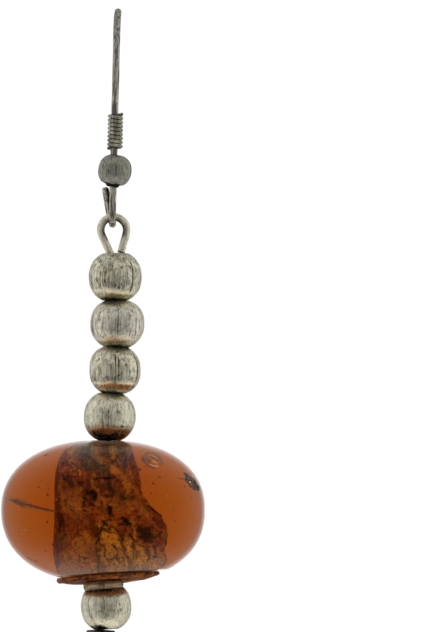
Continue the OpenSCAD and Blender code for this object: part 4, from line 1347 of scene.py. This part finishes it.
# Rings of the end bead: painted shadow under the washer near its top and dark painted reflection at its
# foot, warm painted reflection of the amber, and painted bright reflection low down
END_BEAD_DARK = [(0.74, 0.11, 1.0), (-1.0, 0.07, 0.5)]
END_BEAD_WARM = [(0.56, 0.11, 0.8)]
END_BEAD_BRIGHT_REFLECTIONS = [(-0.62, 0.16, 0.5)]
END_BEAD_PITS = [
    (28, -0.5, 0.09, 0.06), (36, -0.4, 0.12, 0.05), (20, -0.45, 0.10, 0.04), (34, 0.1, 0.10, 0.04),
    (-21, -0.45, 0.08, 0.04), (-15, -0.43, 0.08, 0.05), (-9, -0.45, 0.08, 0.05), (5, -0.42, 0.08, 0.04),
    (11, -0.4, 0.08, 0.035), (-36, -1.95, 0.26, 0.06), (-24, -2.05, 0.3, 0.08), (-12, -2.1, 0.26, 0.06),
]


def add_end_bead():
    pit_rows = END_BEAD_PITS + random_pits(30, 1.8, seed=57, sizes=(0.03, 0.07), deepest=0.03)
    turn = np.array(rotation(-END_BEAD_SIDEWAYS, "Y") @ rotation(-END_BEAD_FORWARD, "X"))
    metal = old_metal("end_silver", SILVER_LIGHT, TARNISH, (tone(226, 220, 190), tone(218, 214, 182)),
                      seed=71.0, smooth=SILVER_SMOOTH, warm=tone(206, 176, 116), wear=0.75)
    add_silver_bead("bead_5", "end_bead", END_BEAD_R, (END_BEAD_RISE, END_BEAD_DROP),
                    [END_BEAD_X, PIVOT[1], END_BEAD_Z], metal, END_BEAD_GROOVES, pit_rows,
                    (END_BEAD_DARK, END_BEAD_WARM, END_BEAD_BRIGHT_REFLECTIONS), seed=141, scratches=20, turn=turn)


# Studio
FLOOR_Z = -400.0
FLOOR_R = 1300.0
FLOOR_CORNERS = 64
METAL_PIECES = ["hook_wire", "coil_wire", "ball", "eye_wire", "pin_head", "bead_1", "bead_2", "bead_3",
                "bead_4", "bead_5", "washer"]


def add_floor():
    rim = stacked(*circle(FLOOR_CORNERS), 0) * FLOOR_R
    paper = Finish("pale_paper")
    material = paper.close((0.94, 0.94, 0.94, 1.0), 0.9, {"Specular IOR Level": 0.1})
    floor = make_object("floor", rim + [0, 0, FLOOR_Z], [list(range(FLOOR_CORNERS))], material)
    floor.visible_glossy = False
    floor.visible_transmission = False


# How bright the studio is in reflections: at its sides, above and below, and in the dark place in front
SIDE_LIGHT = 0.345
TOP_LIGHT = 0.5
FLOOR_LIGHT = 0.8
DARK_SHARE = 0.38
BACK_LIGHT_POWER = 5.5


def add_world():
    """A white studio behind and above, dimmer towards the front."""
    world = bpy.data.worlds.new("studio")
    world.use_nodes = True
    bpy.context.scene.world = world
    studio = Nodes(world.node_tree)
    direction = studio.add("ShaderNodeTexCoord").outputs["Generated"]
    across, back, up = studio.add("ShaderNodeSeparateXYZ", {0: direction}).outputs
    mirrored = studio.maths("POWER", studio.maths("MAXIMUM", back, 0.0), BACK_LIGHT_POWER)
    for limits in ((0.2, 0.9, SIDE_LIGHT, TOP_LIGHT), (-0.9, -0.5, FLOOR_LIGHT, SIDE_LIGHT)):
        mirrored = studio.maths("MAXIMUM", mirrored, studio.remap(up, *limits))
    dark = studio.remap(studio.maths("ABSOLUTE", across), 0.06, 0.42, 1.0, 0.0)
    for limits in ((back, -0.5, 0.0, 1.0, 0.0), (up, 0.0, 0.4, 1.0, 0.0), (up, -0.9, -0.75)):
        dark = studio.times(dark, studio.remap(*limits))
    mirrored = studio.times(mirrored, studio.remap(dark, 0.0, 1.0, 1.0, DARK_SHARE))
    soft = studio.remap(up, -0.7, 0.8, 0.6, 1.1)
    path = studio.add("ShaderNodeLightPath").outputs
    plain = studio.maths("MAXIMUM", path["Is Camera Ray"], path["Is Transmission Ray"])
    strength = studio.add("ShaderNodeMix", {0: path["Is Diffuse Ray"], 2: mirrored, 3: soft}).outputs[0]
    strength = studio.add("ShaderNodeMix", {0: plain, 2: strength, 3: 1.02}).outputs[0]
    background = studio.add("ShaderNodeBackground", {"Color": (1, 1, 1, 1), "Strength": strength})
    studio.add("ShaderNodeOutputWorld", {0: background.outputs[0]})


def add_panel(name, place, target, size, power, receivers=None):
    """A soft light, which falls on everything or only on the objects of one collection."""
    data = bpy.data.lights.new(name, "AREA")
    data.shape = "RECTANGLE"
    data.size = size[0] * MM
    data.size_y = size[1] * MM
    data.energy = power
    panel = bpy.data.objects.new(name, data)
    bpy.context.scene.collection.objects.link(panel)
    way = Vector(target) - Vector(place)
    panel.rotation_euler = way.to_track_quat("-Z", "Y").to_euler()
    panel.location = Vector(place) * MM
    panel.visible_camera = False
    if receivers is None:
        panel.visible_glossy = False
    else:
        panel.light_linking.receiver_collection = receivers


add_hook()
add_coil()
add_ball()
add_eye_pin()
add_pin_head()
add_upper_beads()
add_amber()
add_core()
add_marks()
add_disc()
add_washer()
add_end_bead()
add_floor()
add_world()
metal_pieces = bpy.data.collections.new("metal_pieces")
for piece_name in METAL_PIECES:
    metal_pieces.objects.link(bpy.data.objects[piece_name])
add_panel("top_panel", place=(0, 60, 420), target=(0, -3, -35), size=(500, 500), power=1.5)
for panel_name, across in (("left_panel", -380), ("right_panel", 380)):
    add_panel(panel_name, place=(across, 60, -30), target=(0, 0, -30), size=(560, 700), power=0.4,
              receivers=metal_pieces)
bpy.context.scene.view_settings.view_transform = "Standard"
